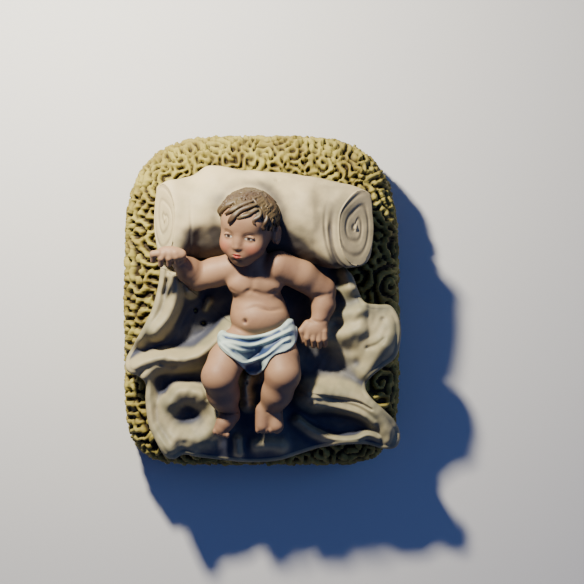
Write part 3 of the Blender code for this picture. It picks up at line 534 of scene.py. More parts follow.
# %% [markdown]
# ## The rolled bolster
#
# The roll is a loft of rounded sections along its length, fuller at the back than at the front, where the
# child presses it down. Each end face slopes out and down from the top, so that from above it shows as a
# tall oval, with a plain wall below it. The coil on an end is a relief in polar coordinates: the height
# follows the fractional part of share times turns - angle / 2 pi, which makes one spiral groove from the
# middle to the rim.

# %% The roll's sections
BOLSTER_HEIGHT = 8.2
ROLL_SINKS_IN = 0.4
BOLSTER_STATIONS = np.array((
    (-13.7, 10.3, 4.7), (-12.6, 10.4, 5.1), (-9.0, 10.7, 5.3), (-4.0, 11.0, 5.5), (0.0, 11.0, 5.6),
    (5.0, 10.6, 5.6), (9.5, 9.9, 5.6), (13.2, 9.4, 5.3), (14.5, 9.3, 4.9),
))
FINE_STATIONS = smooth_line(BOLSTER_STATIONS, 8)
MEAN_RADIUS = 5.2
LEFT_LEAN, RIGHT_LEAN = 2.8, 4.6
END_LOW = 5.0
CORNER = 0.6
PRESSED_DOWN = 0.9
COIL_TURNS = 2.6

# Lumps on the roll: place, how far they stand out (or sink in), and half width
ROLL_LUMPS = (
    ((-5.6, 16.0, 5.0), 0.95, 1.9), ((-7.2, 15.8, 4.6), 0.55, 1.2), ((-3.9, 15.9, 5.0), 0.35, 1.2),
    ((7.4, 12.2, 7.9), -0.22, 0.9), ((6.2, 13.4, 7.7), 0.15, 1.0), ((3.6, 13.2, 8.0), -0.14, 1.4),
    ((-9.6, 12.5, 7.6), -0.22, 1.3), ((-8.3, 9.4, 7.6), 0.18, 1.2), ((4.9, 8.0, 7.4), 0.2, 1.8),
    ((2.1, 15.3, 6.4), -0.5, 0.24), ((-1.0, 15.9, 5.4), -0.15, 1.0), ((10.2, 13.4, 6.0), 0.2, 1.0),
)
# Edges of the cloth's layers near the ends: their place along the roll and their depth
ROLL_LAYERS = ((-10.8, 0.12), (12.1, 0.2), (13.0, 0.28), (13.8, 0.22))


def on_the_roll(x, share, angle, end_face=False):
    """A point of the roll's section at x: share 1 is its skin and 0 its axis, and angle turns round it."""
    middle, radius = (np.interp(x, FINE_STATIONS[:, 0], FINE_STATIONS[:, i]) for i in (1, 2))
    up = share * np.sin(angle)
    across = share * np.cos(angle)
    near_end = ease(np.abs(x), 9.0, 13.6)
    lean = ease(np.abs(x), 3.0, 14.4) * (0.5 + 0.5 * up)
    shift = np.where(x < 0, LEFT_LEAN * lean, -RIGHT_LEAN * lean)
    shift = shift + CORNER * near_end * ease(across, 0.3, 0.95) * np.where(x < 0, -0.3, 1.0)
    pressed = (1.0 - near_end) * ease(-across, 0.0, 0.6) * ease(up, 0.0, 0.5)
    round_z = BOLSTER_HEIGHT / 2 * (1.0 + up) * radius / MEAN_RADIUS - ROLL_SINKS_IN - PRESSED_DOWN * pressed
    slope_z = END_LOW + (BOLSTER_HEIGHT - ROLL_SINKS_IN - END_LOW) * (0.5 + 0.5 * up)
    if not end_face:
        slope_z = slope_z - (END_LOW + ROLL_SINKS_IN) * ease(-up, 0.55, 1.0)
        square = np.sign(across) * np.abs(across) ** 0.45
        across = across + (square - across) * near_end * ease(-up, 0.0, 0.5)
    z = round_z + (slope_z - round_z) * near_end
    return np.stack([x + shift, middle + radius * across, z], axis=-1)


def coil_relief(share, angle, hand, depth):
    """A dish with a spiral groove, sunk where the fraction of share * turns - angle / 2 pi is near a half."""
    wander = 0.16 * np.sin(2.0 * angle + 1.0) + 0.10 * np.sin(3.0 * angle)
    phase = (share * COIL_TURNS + wander - hand * angle / (2 * math.pi)) % 1.0
    groove = np.exp(-((phase - 0.5) / 0.17) ** 2)
    dish = -0.3 * (1.0 - share) ** 1.5
    within = ease(share, 0.02, 0.12) * (1.0 - ease(share, 0.85, 1.0))
    return (dish - depth * groove) * within, groove * within


# %% The roll's mesh
ROLL_SIDES = 220
END_ROWS = 40
LONG_ROWS = 150


def coiled_end(x, hand, depth, wash):
    """The rings of an end face, from its middle outwards, and the wash in the coil's groove."""
    angle = 2 * math.pi * np.arange(ROLL_SIDES) / ROLL_SIDES
    rings, grooves = [], []
    for share in np.linspace(0.02, 0.985, END_ROWS):
        ring = on_the_roll(np.full(ROLL_SIDES, x), share, angle, end_face=True)
        relief, groove = coil_relief(share, angle, hand, depth)
        rings.append(ring + relief[:, None] * (0.0, 0.0, 1.0))
        grooves.append(wash * groove)
    return rings, grooves


def wash_and_painted_shade_on_the_roll(x, y):
    """Wash beside the head; painted shade low on the front, below a line that drops to the right along the
    head's shadow; and a little more all over towards the right.
    """
    halo = np.exp(-((np.hypot(x + 1.6, y - 10.6) - 4.3) / 0.9) ** 2)
    line = 10.5 - 0.75 * np.maximum(x - 2.5, 0.0)
    # Painted shade, where the roll's front turns from the lamp and under the head's shadow.
    low = ease(line - y, 0.0, 2.0) * (1.0 - ease(np.abs(x), 9.0, 11.0))
    return 0.5 * halo + 0.9 * low + 0.36 * ease(x, -5.0, 7.0)


def bolster():
    """The skin and both coiled ends in one grid: out from an end's middle, along the roll, and in again."""
    angle = 2 * math.pi * np.arange(ROLL_SIDES) / ROLL_SIDES
    left, right = BOLSTER_STATIONS[0, 0], BOLSTER_STATIONS[-1, 0]
    rows, grooves = coiled_end(left, 1.0, 0.14, 0.35)
    for x in np.linspace(left, right, LONG_ROWS):
        end = min(x - left, right - x)
        tuck = 1.0 - 0.03 * math.exp(-end / 0.2)
        ring = on_the_roll(np.full(ROLL_SIDES, x), tuck, angle)
        centre = on_the_roll(np.array(x), 0.0, 0.0)
        out = ring - centre
        out[:, 0] = 0.0
        out /= np.linalg.norm(out, axis=1, keepdims=True)
        wave = 0.13 * soft_noise(ring, 5.0, 7) + 0.035 * soft_noise(ring, 1.4, 8)
        for place, rise, half in ROLL_LUMPS:
            wave += rise * np.exp(-(np.linalg.norm(ring - place, axis=1) / half) ** 2)
        seam = np.zeros(ROLL_SIDES)
        for place, depth in ROLL_LAYERS:
            bend = place + 0.35 * np.sin(angle + 2.0 * place)
            seam += depth * np.exp(-((x - bend) / 0.25) ** 2) * ease(-np.cos(angle), -0.7, 0.3)
        rows.append(ring + out * (wave - seam)[:, None])
        grooves.append(2.0 * seam)
    right_rows, right_grooves = coiled_end(right, -1.0, 0.09, 0.25)
    rings = np.array(rows + right_rows[::-1])
    ends = rings[0].mean(axis=0), rings[-1].mean(axis=0)
    piece = new_piece("bolster", *closed_skin(rings, *ends, turned=True))
    grooves = np.array(grooves + right_grooves[::-1])
    paint(piece, "hollow", grooves + wash_and_painted_shade_on_the_roll(rings[..., 0], rings[..., 1]))
    return piece


roll = bolster()
report(roll)

# %% [markdown]
# ## Modelling in digital clay
#
# The child is soft and rounded, with limbs that grow out of each other, so it isn't built from grids.
# Instead a block of space is filled with numbers: how far each spot is outside the clay. A ball and a
# tapered limb are easy to write that way, two forms flow together where the smaller number wins with a soft
# blend, and a crease is pressed in by adding a little along a line. The skin is then drawn where the number
# is zero.

# %% Digital clay
class Clay:
    """A block of spots, each with its distance outside the clay in millimetres (below zero inside)."""

    def __init__(self, low, high, step):
        self.step = step
        self.low = np.array(low, float)
        self.axes = [np.arange(start, end, step, dtype=np.float32) for start, end in zip(low, high)]
        self.field = np.full([len(axis) for axis in self.axes], 3.0, np.float32)

    def window(self, low, high):
        """The part of the block between two corners, as slices, and its spots."""
        cut = []
        for axis, start, end in zip(self.axes, low, high):
            first = max(int((start - axis[0]) / self.step), 0)
            cut.append(slice(first, max(int((end - axis[0]) / self.step) + 2, first + 1)))
        spots = np.meshgrid(*(axis[part] for axis, part in zip(self.axes, cut)), indexing="ij")
        return tuple(cut), np.stack(spots, axis=-1)

    def blend_in(self, cut, part, soft):
        """The smaller of old and new, eased where they differ little: mixed by h, less soft * h (1 - h)."""
        old = self.field[cut]
        h = np.clip(0.5 + 0.5 * (part - old) / soft, 0.0, 1.0)
        self.field[cut] = part + (old - part) * h - soft * h * (1.0 - h)

    def ball(self, place, half_axes, soft=0.5, turn=None):
        """An ellipsoid: k (k - 1) / |p / r^2| with k = |p / r| is its distance, close to the skin."""
        place = np.array(place, float)
        half = np.array(half_axes, float)
        reach = half.max() + 3.0 * soft + 0.5
        cut, spots = self.window(place - reach, place + reach)
        away = spots - place
        if turn is not None:
            away = away @ np.array(turn)
        k = np.linalg.norm(away / half, axis=-1)
        part = k * (k - 1.0) / np.maximum(np.linalg.norm(away / half ** 2, axis=-1), 1e-6)
        self.blend_in(cut, part, soft)

    def limb(self, points, radii, soft=0.5):
        """Tapered rods from joint to joint: the distance to the rod's axis, less its radius there."""
        points = np.array(points, float)
        for start, end, first, last in zip(points, points[1:], radii, radii[1:]):
            reach = max(first, last) + 3.0 * soft + 0.5
            cut, spots = self.window(np.minimum(start, end) - reach, np.maximum(start, end) + reach)
            away, run = spots - start, end - start
            share = np.clip((away @ run) / (run @ run), 0.0, 1.0)
            part = np.linalg.norm(away - share[..., None] * run, axis=-1) - (first + (last - first) * share)
            self.blend_in(cut, part, soft)

    def press(self, line, depth, width):
        """A groove along a line, as deep as depth * exp(-(d / width)^2) at the distance d from it."""
        line = np.array(line, float)
        cut, spots = self.window(line.min(axis=0) - 3.0 * width, line.max(axis=0) + 3.0 * width)
        away, _ = distance_to_line(spots, line)
        self.field[cut] += depth * np.exp(-(away / width) ** 2)

    def at(self, points, field=None):
        """The value between the spots: each point takes its eight neighbours, weighted by nearness."""
        field = self.field if field is None else field
        place = (points - self.low) / self.step
        first = np.clip(np.floor(place).astype(int), 0, np.array(field.shape) - 2)
        share = place - first
        total = np.zeros(len(points))
        for corner in np.ndindex(2, 2, 2):
            weight = np.prod(np.where(corner, share, 1.0 - share), axis=1)
            total += weight * field[tuple((first + corner).T)]
        return total

    def softened(self, rounds):
        """The block averaged with its neighbours along each axis, over and over."""
        soft = self.field.copy()
        for _ in range(rounds):
            for axis in range(3):
                soft = 0.5 * soft + 0.25 * (np.roll(soft, 1, axis=axis) + np.roll(soft, -1, axis=axis))
        return soft


# %% [markdown]
# The skin follows the method called surface nets. Every edge between two neighbouring spots that changes
# sign crosses the skin. Each cell that has such edges gets one corner point, the middle of its crossings,
# and every crossed edge becomes a quad that joins the four cells around it, turned so that it faces
# outwards.

# %% The skin of a block of clay
def skin_of(clay):
    """Corner points in millimetres and quads of the surface where the clay's number is zero."""
    field = clay.field
    inside = field < 0.0
    strides = np.array([field.shape[1] * field.shape[2], field.shape[2], 1])
    quads, places = [], []
    for axis in range(3):
        here = tuple(slice(None, -1) if i == axis else slice(None) for i in range(3))
        there = tuple(slice(1, None) if i == axis else slice(None) for i in range(3))
        crossed = inside[here] != inside[there]
        spots = np.argwhere(crossed)
        before, after = field[here][crossed], field[there][crossed]
        place = spots.astype(float)
        place[:, axis] += before / (before - after)
        around = []
        for step_u, step_v in ((0, 0), (-1, 0), (-1, -1), (0, -1)):
            cell = spots.copy()
            cell[:, (axis + 1) % 3] += step_u
            cell[:, (axis + 2) % 3] += step_v
            around.append(cell @ strides)
        around = np.stack(around, axis=1)
        around[before > 0.0] = around[before > 0.0][:, ::-1]
        quads.append(around)
        places.append(np.repeat(place, 4, axis=0))
    _, numbers = np.unique(np.concatenate(quads).ravel(), return_inverse=True)
    places = np.concatenate(places)
    count = np.bincount(numbers)
    points = np.stack([np.bincount(numbers, weights=places[:, i]) for i in range(3)], axis=1) / count[:, None]
    return clay.low + points * clay.step, numbers.reshape(-1, 4)


def hollows_of(clay, points, rounds):
    """How sunk each point lies: the softened clay's number with its sign turned, above zero in a crease."""
    return -clay.at(points, clay.softened(rounds))


# %% [markdown]
# ## The child's body
#
# The body lies on its back on the cloth, with one arm raised over the roll's end and the other bent beside
# the hip. The trunk is a few overlapping ellipsoids, and the limbs are tapered rods. Chubby creases are
# pressed in at the breast, the belly, the wrists, an elbow and the ankles, and the navel is a small dimple.

# %% The trunk and the arms
def turned(degrees):
    """A turn about the upright axis."""
    return np.array(Matrix.Rotation(math.radians(degrees), 3, "Z"))


body = Clay((-15.0, -18.6, 1.0), (11.0, 8.6, 12.6), 0.13)

body.limb(((-1.2, 6.2, 6.0), (-0.9, 3.8, 5.0)), (1.9, 2.2), 0.8)
body.ball((-0.75, 2.7, 4.6), (3.5, 3.2, 2.9), 0.8)
for x in (-2.5, 1.1):
    body.ball((x, 2.1, 5.9), (1.75, 1.45, 1.25), 0.5)
body.ball((-0.3, -1.0, 4.1), (3.5, 3.2, 2.9), 0.8)
body.ball((-0.1, -2.3, 4.5), (3.8, 2.4, 3.0), 0.7)
body.ball((-0.2, -2.8, 5.6), (2.9, 1.4, 1.55), 0.4)
body.ball((-0.4, -5.1, 3.6), (4.4, 2.5, 2.6), 0.8)

ARM_UP = ((-3.6, 4.2, 5.0), (-6.0, 3.6, 4.8), (-8.1, 3.0, 4.7))
FOREARM_UP = ((-8.1, 3.1, 4.5), (-9.2, 3.9, 5.6), (-10.4, 5.0, 7.7))
body.limb(ARM_UP, (1.95, 1.8, 1.7), 0.6)
body.limb(FOREARM_UP, (1.7, 1.6, 1.05), 0.5)
body.ball((-11.3, 6.0, 8.9), (1.9, 0.95, 0.75), 0.3, turned(-6))
for x, y, start_x in ((-13.6, 5.1, -12.9), (-12.6, 4.6, -12.2), (-11.6, 4.6, -11.5), (-10.7, 4.8, -10.8)):
    body.limb(((start_x, 6.0, 9.2), (x, y + 0.8, 9.15), (x - 0.05, y, 8.5)), (0.5, 0.46, 0.38), 0.1)
body.limb(((-10.0, 5.9, 8.8), (-9.9, 5.0, 8.2)), (0.55, 0.42), 0.2)

ARM_DOWN = ((2.3, 4.4, 6.2), (5.3, 3.2, 5.2), (7.9, 1.3, 3.9))
FOREARM_DOWN = ((7.9, 1.3, 3.7), (8.05, -0.6, 3.9), (7.6, -2.4, 4.2))
body.limb(ARM_DOWN, (2.0, 1.85, 1.7), 0.6)
body.limb(FOREARM_DOWN, (1.7, 1.5, 1.15), 0.4)
body.ball((6.9, -3.6, 4.5), (1.75, 1.3, 0.85), 0.4)
for x, tip_x, tip_y in ((6.15, 6.0, -5.6), (6.85, 6.75, -5.8), (7.55, 7.5, -5.9), (8.15, 8.2, -5.7)):
    body.limb(((x, -4.0, 4.8), (tip_x, tip_y + 0.8, 4.75), (tip_x, tip_y, 4.1)), (0.44, 0.42, 0.36), 0.06)
body.limb(((6.0, -3.0, 4.6), (5.2, -3.9, 4.6), (5.35, -5.2, 4.2)), (0.55, 0.45, 0.36), 0.12)

# %% The legs
body.limb(((-2.9, -5.6, 4.5), (-4.4, -7.7, 6.1), (-5.25, -9.7, 7.1)), (2.35, 2.3, 2.15), 0.5)
body.limb(((-5.25, -9.7, 7.1), (-4.8, -11.9, 5.3), (-4.2, -13.9, 3.7)), (2.15, 1.95, 1.35), 0.9)
body.limb(((-3.9, -14.7, 3.9), (-4.6, -15.7, 4.1), (-5.1, -16.4, 4.1)), (1.25, 1.1, 0.95), 0.4)
for i in range(5):
    body.ball((-5.9 + 0.4 * i, -16.8 - 0.11 * i, 4.3), (0.32, 0.45, 0.45), 0.1)

body.limb(((2.0, -5.4, 4.7), (2.6, -7.5, 6.2), (2.85, -9.4, 7.0)), (2.4, 2.3, 2.1), 0.5)
body.limb(((2.85, -9.4, 7.0), (2.1, -11.8, 5.5), (1.15, -13.9, 3.9)), (2.1, 1.85, 1.4), 0.9)
body.limb(((0.3, -14.2, 4.0), (0.15, -16.1, 4.2)), (1.05, 0.9), 0.5)
body.limb(((1.7, -14.2, 4.0), (2.0, -16.1, 4.2)), (1.05, 0.95), 0.5)
for x, big in ((-0.4, 0.32), (0.15, 0.33), (0.72, 0.36), (1.3, 0.36), (2.1, 0.5)):
    body.ball((x, -16.5 - 0.2 * big, 4.35), (big, 0.5, 0.46), 0.1)
print("the body's clay:", body.field.shape)

# %% Creases of the body
BODY_CREASES = (
    (((-3.9, 1.3, 6.6), (-3.2, 0.8, 7.0), (-2.3, 0.7, 7.1), (-1.6, 1.2, 7.1)), 0.26, 0.28),
    (((-0.7, 1.1, 7.1), (0.2, 0.7, 7.1), (1.1, 0.7, 7.0), (1.8, 1.2, 6.7)), 0.26, 0.28),
    (((-0.9, 3.6, 7.2), (-1.1, 1.4, 7.1)), 0.16, 0.4),
    (((-3.7, -0.8, 6.0), (-2.4, -1.2, 7.1), (-0.6, -0.8, 7.2), (1.2, -1.2, 7.0), (2.9, -1.0, 6.2)),
     0.22, 0.25),
    (((-3.7, -3.2, 6.2), (-2.4, -4.0, 7.1), (-0.2, -4.3, 7.3), (1.9, -3.7, 7.1), (3.0, -3.0, 6.6)), 0.3, 0.3),
    (((-2.0, -2.6, 7.4), (-2.0, -2.65, 7.0)), 0.75, 0.26),
    (((-9.4, 5.6, 7.9), (-10.0, 4.6, 8.4), (-10.9, 4.3, 7.8)), 0.16, 0.25),
    (((6.5, -2.5, 4.9), (7.6, -2.8, 5.4), (8.7, -2.5, 4.9)), 0.14, 0.22),
    (((6.6, 0.9, 5.0), (7.6, 0.6, 5.5), (8.8, 0.9, 5.0)), 0.14, 0.35),
    (((-5.7, -14.2, 4.4), (-4.3, -14.6, 5.2), (-2.9, -14.4, 4.4)), 0.18, 0.22),
    (((0.9, -14.2, 5.2), (2.0, -14.4, 5.0), (2.8, -14.2, 4.4)), 0.12, 0.22),
)
for line, depth, width in BODY_CREASES:
    body.press(smooth_line(line, 4), depth, width)


def skinned(name, clay, rounds=10, washed_and_shaded=None):
    """A piece with the clay's skin. Its creases, and the painted shadow that washed_and_shaded adds to them,
    are its attribute hollow.
    """
    points, quads = skin_of(clay)
    piece = new_piece(name, points, quads)
    hollow = hollows_of(clay, points, rounds)
    paint(piece, "hollow", hollow if washed_and_shaded is None else hollow + washed_and_shaded(points))
    report(piece)
    return piece


child = skinned("child_body", body)

# %% [markdown]
# ## The head
#
# The head lies back on the roll, turned a little to one side. It is modelled upright in a frame of its own,
# whose axes run across to the child's left, up to the crown, and forward out of the face, and then turned
# into place. The face is a plain calm child's face on a beginner's proportions: eyes just under half the
# head's height, one eye's width apart, the nose's tip a quarter of the head above the chin, and a small
# closed mouth between.

# %% The head's own frame
HEAD_MIDDLE = np.array((-1.55, 9.6, 7.7))
forward = Vector((-0.36, -0.27, 0.89)).normalized()
upward = Vector((0.17, 1.0, 0.0))
upward = (upward - upward.dot(forward) * forward).normalized()
HEAD_AXES = np.array((upward.cross(forward), upward, forward))
EYE_UP = -0.85
EYE_ACROSS = 1.38
EYE_HALF_WIDTH = 0.56
EYE_HALF_HEIGHT = 0.25
NOSE_UP = -2.05
MOUTH_UP = -3.1


def out_of_head(points):
    """Head-frame points as points of the whole piece."""
    return HEAD_MIDDLE + points @ HEAD_AXES


# %% The head's clay
head = Clay((-4.9, -5.9, -4.9), (4.9, 5.4, 4.9), 0.075)
head.ball((0.0, 0.6, -0.3), (3.65, 3.65, 3.95), 0.6)
head.ball((0.0, -1.6, 0.9), (2.8, 3.1, 2.65), 1.0)
head.ball((0.0, -3.95, 1.95), (1.2, 0.95, 1.0), 1.0)
head.ball((0.0, 1.3, 2.1), (2.6, 1.8, 1.5), 0.8)
for side in (-1, 1):
    head.ball((side * 1.55, -2.2, 2.05), (1.2, 1.1, 1.0), 1.3)
    socket = ((side * (EYE_ACROSS - 0.3), EYE_UP, 3.6), (side * (EYE_ACROSS + 0.3), EYE_UP, 3.4))
    head.press(socket, 0.34, 0.6)
    head.ball((side * EYE_ACROSS, EYE_UP, 2.55), (0.74, 0.58, 0.7), 0.2)
    arc = np.linspace(0.08, 0.92, 9) * math.pi
    lid = np.stack([side * (EYE_ACROSS + EYE_HALF_WIDTH * 1.15 * np.cos(arc)),
                    EYE_UP + 0.06 + EYE_HALF_HEIGHT * 1.2 * np.sin(arc),
                    3.2 - 0.16 * np.cos(arc) ** 2], axis=1)
    head.limb(lid, [0.07] + [0.12] * 7 + [0.07], 0.12)
    head.ball((side * 3.62, -0.75, -0.3), (0.5, 1.15, 0.8), 0.2)
    turn = np.linspace(-2.4, 2.4, 13)
    rim = np.stack([np.full(13, side * 3.95), -0.75 + 1.02 * np.sin(turn),
                    -0.3 - 0.68 * np.cos(turn)], axis=1)
    head.limb(rim, [0.2] * 13, 0.1)
    head.press(((side * 4.15, -0.35, -0.2), (side * 4.15, -1.15, -0.1)), 0.4, 0.3)
head.limb(((0.0, -0.5, 3.1), (0.0, -1.2, 3.3), (0.0, NOSE_UP + 0.1, 3.6)), (0.3, 0.33, 0.38), 0.6)
for side in (-1, 1):
    head.ball((side * 0.36, NOSE_UP - 0.02, 3.42), (0.27, 0.24, 0.28), 0.25)
head.ball((0.0, MOUTH_UP, 2.85), (1.1, 0.72, 0.7), 0.6)
head.limb(((-0.6, MOUTH_UP + 0.03, 3.3), (-0.22, MOUTH_UP + 0.17, 3.47), (0.0, MOUTH_UP + 0.13, 3.5),
           (0.22, MOUTH_UP + 0.17, 3.47), (0.6, MOUTH_UP + 0.03, 3.3)), (0.07, 0.15, 0.15, 0.15, 0.07), 0.14)
head.limb(((-0.42, MOUTH_UP - 0.17, 3.32), (0.0, MOUTH_UP - 0.25, 3.42), (0.42, MOUTH_UP - 0.17, 3.32)),
          (0.09, 0.18, 0.09), 0.16)
between_lips = ((-0.6, MOUTH_UP - 0.01, 3.4), (0.0, MOUTH_UP - 0.03, 3.62), (0.6, MOUTH_UP - 0.01, 3.4))
head.press(between_lips, 0.12, 0.09)
head.press(((0.0, NOSE_UP - 0.5, 3.5), (0.0, MOUTH_UP + 0.36, 3.5)), 0.06, 0.13)
head.press(((-0.4, MOUTH_UP - 0.58, 3.2), (0.4, MOUTH_UP - 0.58, 3.2)), 0.12, 0.25)

face_points, face_quads = skin_of(head)
child_head = new_piece("child_head", out_of_head(face_points), face_quads)
paint(child_head, "hollow", hollows_of(head, face_points, 10))
report(child_head)

# %% [markdown]
# The eyes, brows and lips are only paint on the real casting, put on with a fine brush. The paint is worked
# out as masks in the head's frame: an oval for the iris, cut by the lids, an arc for the lashes and one for
# the brow, the lips' own outline, and a soft round of blush on each cheek.

# %% Paint on the face
def face_paint(points):
    """Masks from zero to one for each kind of paint, from the places across, up and forward in the head."""
    across, up, front = points.T
    face = ease(front, 1.6, 2.4)
    aside = np.abs(across) - EYE_ACROSS
    upper = EYE_UP + 0.05 + EYE_HALF_HEIGHT * np.sqrt(np.clip(1.0 - (aside / EYE_HALF_WIDTH) ** 2, 0.0, 1.0))
    lower = EYE_UP + 0.05 - 0.7 * EYE_HALF_HEIGHT * np.clip(1.0 - (aside / EYE_HALF_WIDTH) ** 2, 0.0, 1.0)
    within = 1.0 - ease(np.abs(aside), EYE_HALF_WIDTH - 0.06, EYE_HALF_WIDTH + 0.06)
    white = ease(upper - up, -0.04, 0.04) * ease(up - lower, -0.04, 0.04) * within * face
    look = np.hypot(aside / 0.25, (up - EYE_UP - 0.06) / 0.27)
    iris = (1.0 - ease(look, 0.8, 1.1)) * white
    lash = np.exp(-((up - upper - 0.03) / 0.07) ** 2) * (1.0 - ease(np.abs(aside), 0.5, 0.66)) * face
    brow_line = EYE_UP + 0.98 - 0.34 * ((aside - 0.08) / 0.8) ** 2
    brow = np.exp(-((up - brow_line) / 0.1) ** 2) * (1.0 - ease(np.abs(aside - 0.05), 0.45, 0.75)) * face
    bow = MOUTH_UP + 0.32 - 0.38 * (across / 0.66) ** 2 - 0.08 * np.exp(-(across / 0.13) ** 2)
    chin = MOUTH_UP - 0.42 + 0.42 * (across / 0.62) ** 2
    lips = ease(bow - up, -0.03, 0.06) * ease(up - chin, -0.03, 0.06) * face
    blush = np.exp(-((np.abs(across) - 1.9) / 0.85) ** 2 - ((up + 2.2) / 0.8) ** 2) * face
    line = np.maximum(0.8 * lash, 0.5 * brow)
    return {"white": white, "iris": iris, "line": line, "lips": lips, "blush": blush}


for name, mask in face_paint(face_points).items():
    paint(child_head, name, mask)
    print(f"{name}: {100 * mask.mean():.1f}% of the head")

# %% [markdown]
# ## The hair
#
# The hair is a cap of short, fine waves that fan out from the crown at the back and are combed forward and
# to one side. Each lock is a thin tapered rod that runs over the cap and sways from side to side, half sunk
# into it, and its end curls a little away from the head. The grooves between the locks catch the dark wash.
# A few thicker curls lie over the fringe, and one forelock falls onto the forehead.

# %% The hair's clay
HAIR_MIDDLE = np.array((-0.1, 0.95, -0.45))
HAIR_HALF_AXES = np.array((3.82, 3.45, 4.0))
HAIR_CROWN = Vector((0.25, 0.85, -0.45)).normalized()
CROWN_ASIDE = Vector((1.0, 0.0, 0.0)).cross(HAIR_CROWN).normalized()
CROWN_ACROSS = HAIR_CROWN.cross(CROWN_ASIDE)
hair = Clay((-5.6, -3.9, -5.9), (5.6, 6.2, 5.4), 0.085)


def on_the_cap(polar, turn, rise):
    """Points of the cap at an angle from the crown and a turn about it, raised by a factor."""
    ray = (np.cos(polar)[:, None] * np.array(HAIR_CROWN)
           + (np.sin(polar) * np.cos(turn))[:, None] * np.array(CROWN_ASIDE)
           + (np.sin(polar) * np.sin(turn))[:, None] * np.array(CROWN_ACROSS))
    return HAIR_MIDDLE + HAIR_HALF_AXES * ray * rise[:, None]


def hair_lock(draw, azimuth, start, end, height, thick):
    """A lock from start to end: its turn about the crown sways as a sine that grows towards the tip."""
    share = np.linspace(0.0, 1.0, 15)
    polar = start + (end - start) * share
    sway = 0.13 * np.sin(8.0 * polar + draw.uniform(0.0, 2.0 * math.pi)) * (0.6 + share)
    path = on_the_cap(polar, azimuth + 0.7 * np.sin(polar) + sway, height + 0.05 * share ** 4)
    hair.limb(path, thick * np.sin(math.pi * (0.1 + 0.82 * share)) ** 0.5, 0.05)


hair.ball(HAIR_MIDDLE, HAIR_HALF_AXES * 0.965, 0.2)
lock_draw = np.random.default_rng(5)
for count, start, end, height, thick in (
    (56, 0.45, 1.66, 0.985, 0.22), (50, 0.30, 1.45, 1.0, 0.21), (34, 0.12, 1.05, 1.01, 0.2),
    (20, 0.05, 0.62, 1.02, 0.2),
):
    for lock in range(count):
        azimuth = 2.0 * math.pi * (lock + lock_draw.uniform(-0.35, 0.35)) / count
        hair_lock(lock_draw, azimuth, start, end * lock_draw.uniform(0.90, 1.06), height,
                  thick * lock_draw.uniform(0.8, 1.2))

# Curls that lie over the fringe, in the head's frame: across, up and forward
FRINGE_CURLS = (
    ((1.6, 3.6, 2.2), (0.9, 3.3, 2.9), (0.1, 2.8, 3.4), (-0.5, 2.2, 3.75), (-1.0, 1.5, 3.9),
     (-1.3, 1.1, 3.85)),
    ((0.9, 3.9, 2.0), (0.2, 3.5, 2.6), (-0.6, 3.1, 3.1), (-1.3, 2.5, 3.4), (-1.9, 2.1, 3.35)),
    ((1.9, 3.1, 2.5), (1.3, 2.6, 3.1), (0.6, 2.2, 3.55), (0.0, 1.9, 3.75)),
    ((-0.6, 4.0, 1.6), (-1.3, 3.6, 2.2), (-2.0, 3.0, 2.6), (-2.6, 2.3, 2.7), (-2.8, 1.8, 2.6)),
    ((2.3, 2.9, 2.1), (2.2, 2.2, 2.7), (1.9, 1.7, 3.1), (1.9, 1.2, 3.2)),
    ((2.9, 2.2, 1.7), (2.9, 1.4, 2.1), (2.75, 0.8, 2.3), (2.8, 0.3, 2.2)),
    ((3.3, 1.6, 1.0), (3.4, 0.8, 1.3), (3.25, 0.2, 1.5)),
    ((-2.2, 3.4, 1.5), (-2.9, 2.6, 1.8), (-3.2, 1.8, 1.9), (-3.3, 1.2, 1.7)),
)
for number, curl in enumerate(FRINGE_CURLS):
    path = smooth_line(curl, 5)
    share = np.linspace(0.0, 1.0, len(path))
    for strand in (-1.0, 0.0, 1.0):
        wave = 0.12 * np.sin(9.0 * share + number + strand)
        beside = np.stack([0.21 * strand * (1.0 - 0.5 * share) + wave, 0.5 * wave, 0.0 * share], axis=1)
        hair.limb(path + beside, 0.19 * np.sin(math.pi * (0.12 + 0.83 * share)) ** 0.6 + 0.02, 0.05)
hair_points, hair_quads = skin_of(hair)
child_hair = new_piece("child_hair", out_of_head(hair_points), hair_quads)
paint(child_hair, "hollow", hollows_of(hair, hair_points, 8))
report(child_hair)

# %% [markdown]
# ## The loincloth
#
# The wrap round the hips is the body's own clay made 0.3 mm thicker, and kept only inside an outline seen
# from above. Swags are ridges along sagging lines from hip to hip, with hollows between them, and a panel
# hangs between the thighs. A knot sits on one hip and the cloth bunches up on the other. Painted shadow,
# in the blue wash colour, darkens two sunk places, above and below the lowest swag.

# %% The loincloth's clay
WRAP_EDGE = (
    (-5.1, -3.9), (-3.8, -4.2), (-2.0, -4.5), (0.0, -4.3), (2.0, -3.6), (3.6, -2.6), (4.4, -2.7), (4.6, -4.2),
    (4.3, -5.6), (3.3, -6.4), (2.0, -6.8), (1.2, -7.5), (0.6, -8.6), (-0.2, -9.4), (-1.4, -9.5), (-2.2, -8.7),
    (-3.2, -7.6), (-4.6, -6.6), (-5.5, -5.4),
)

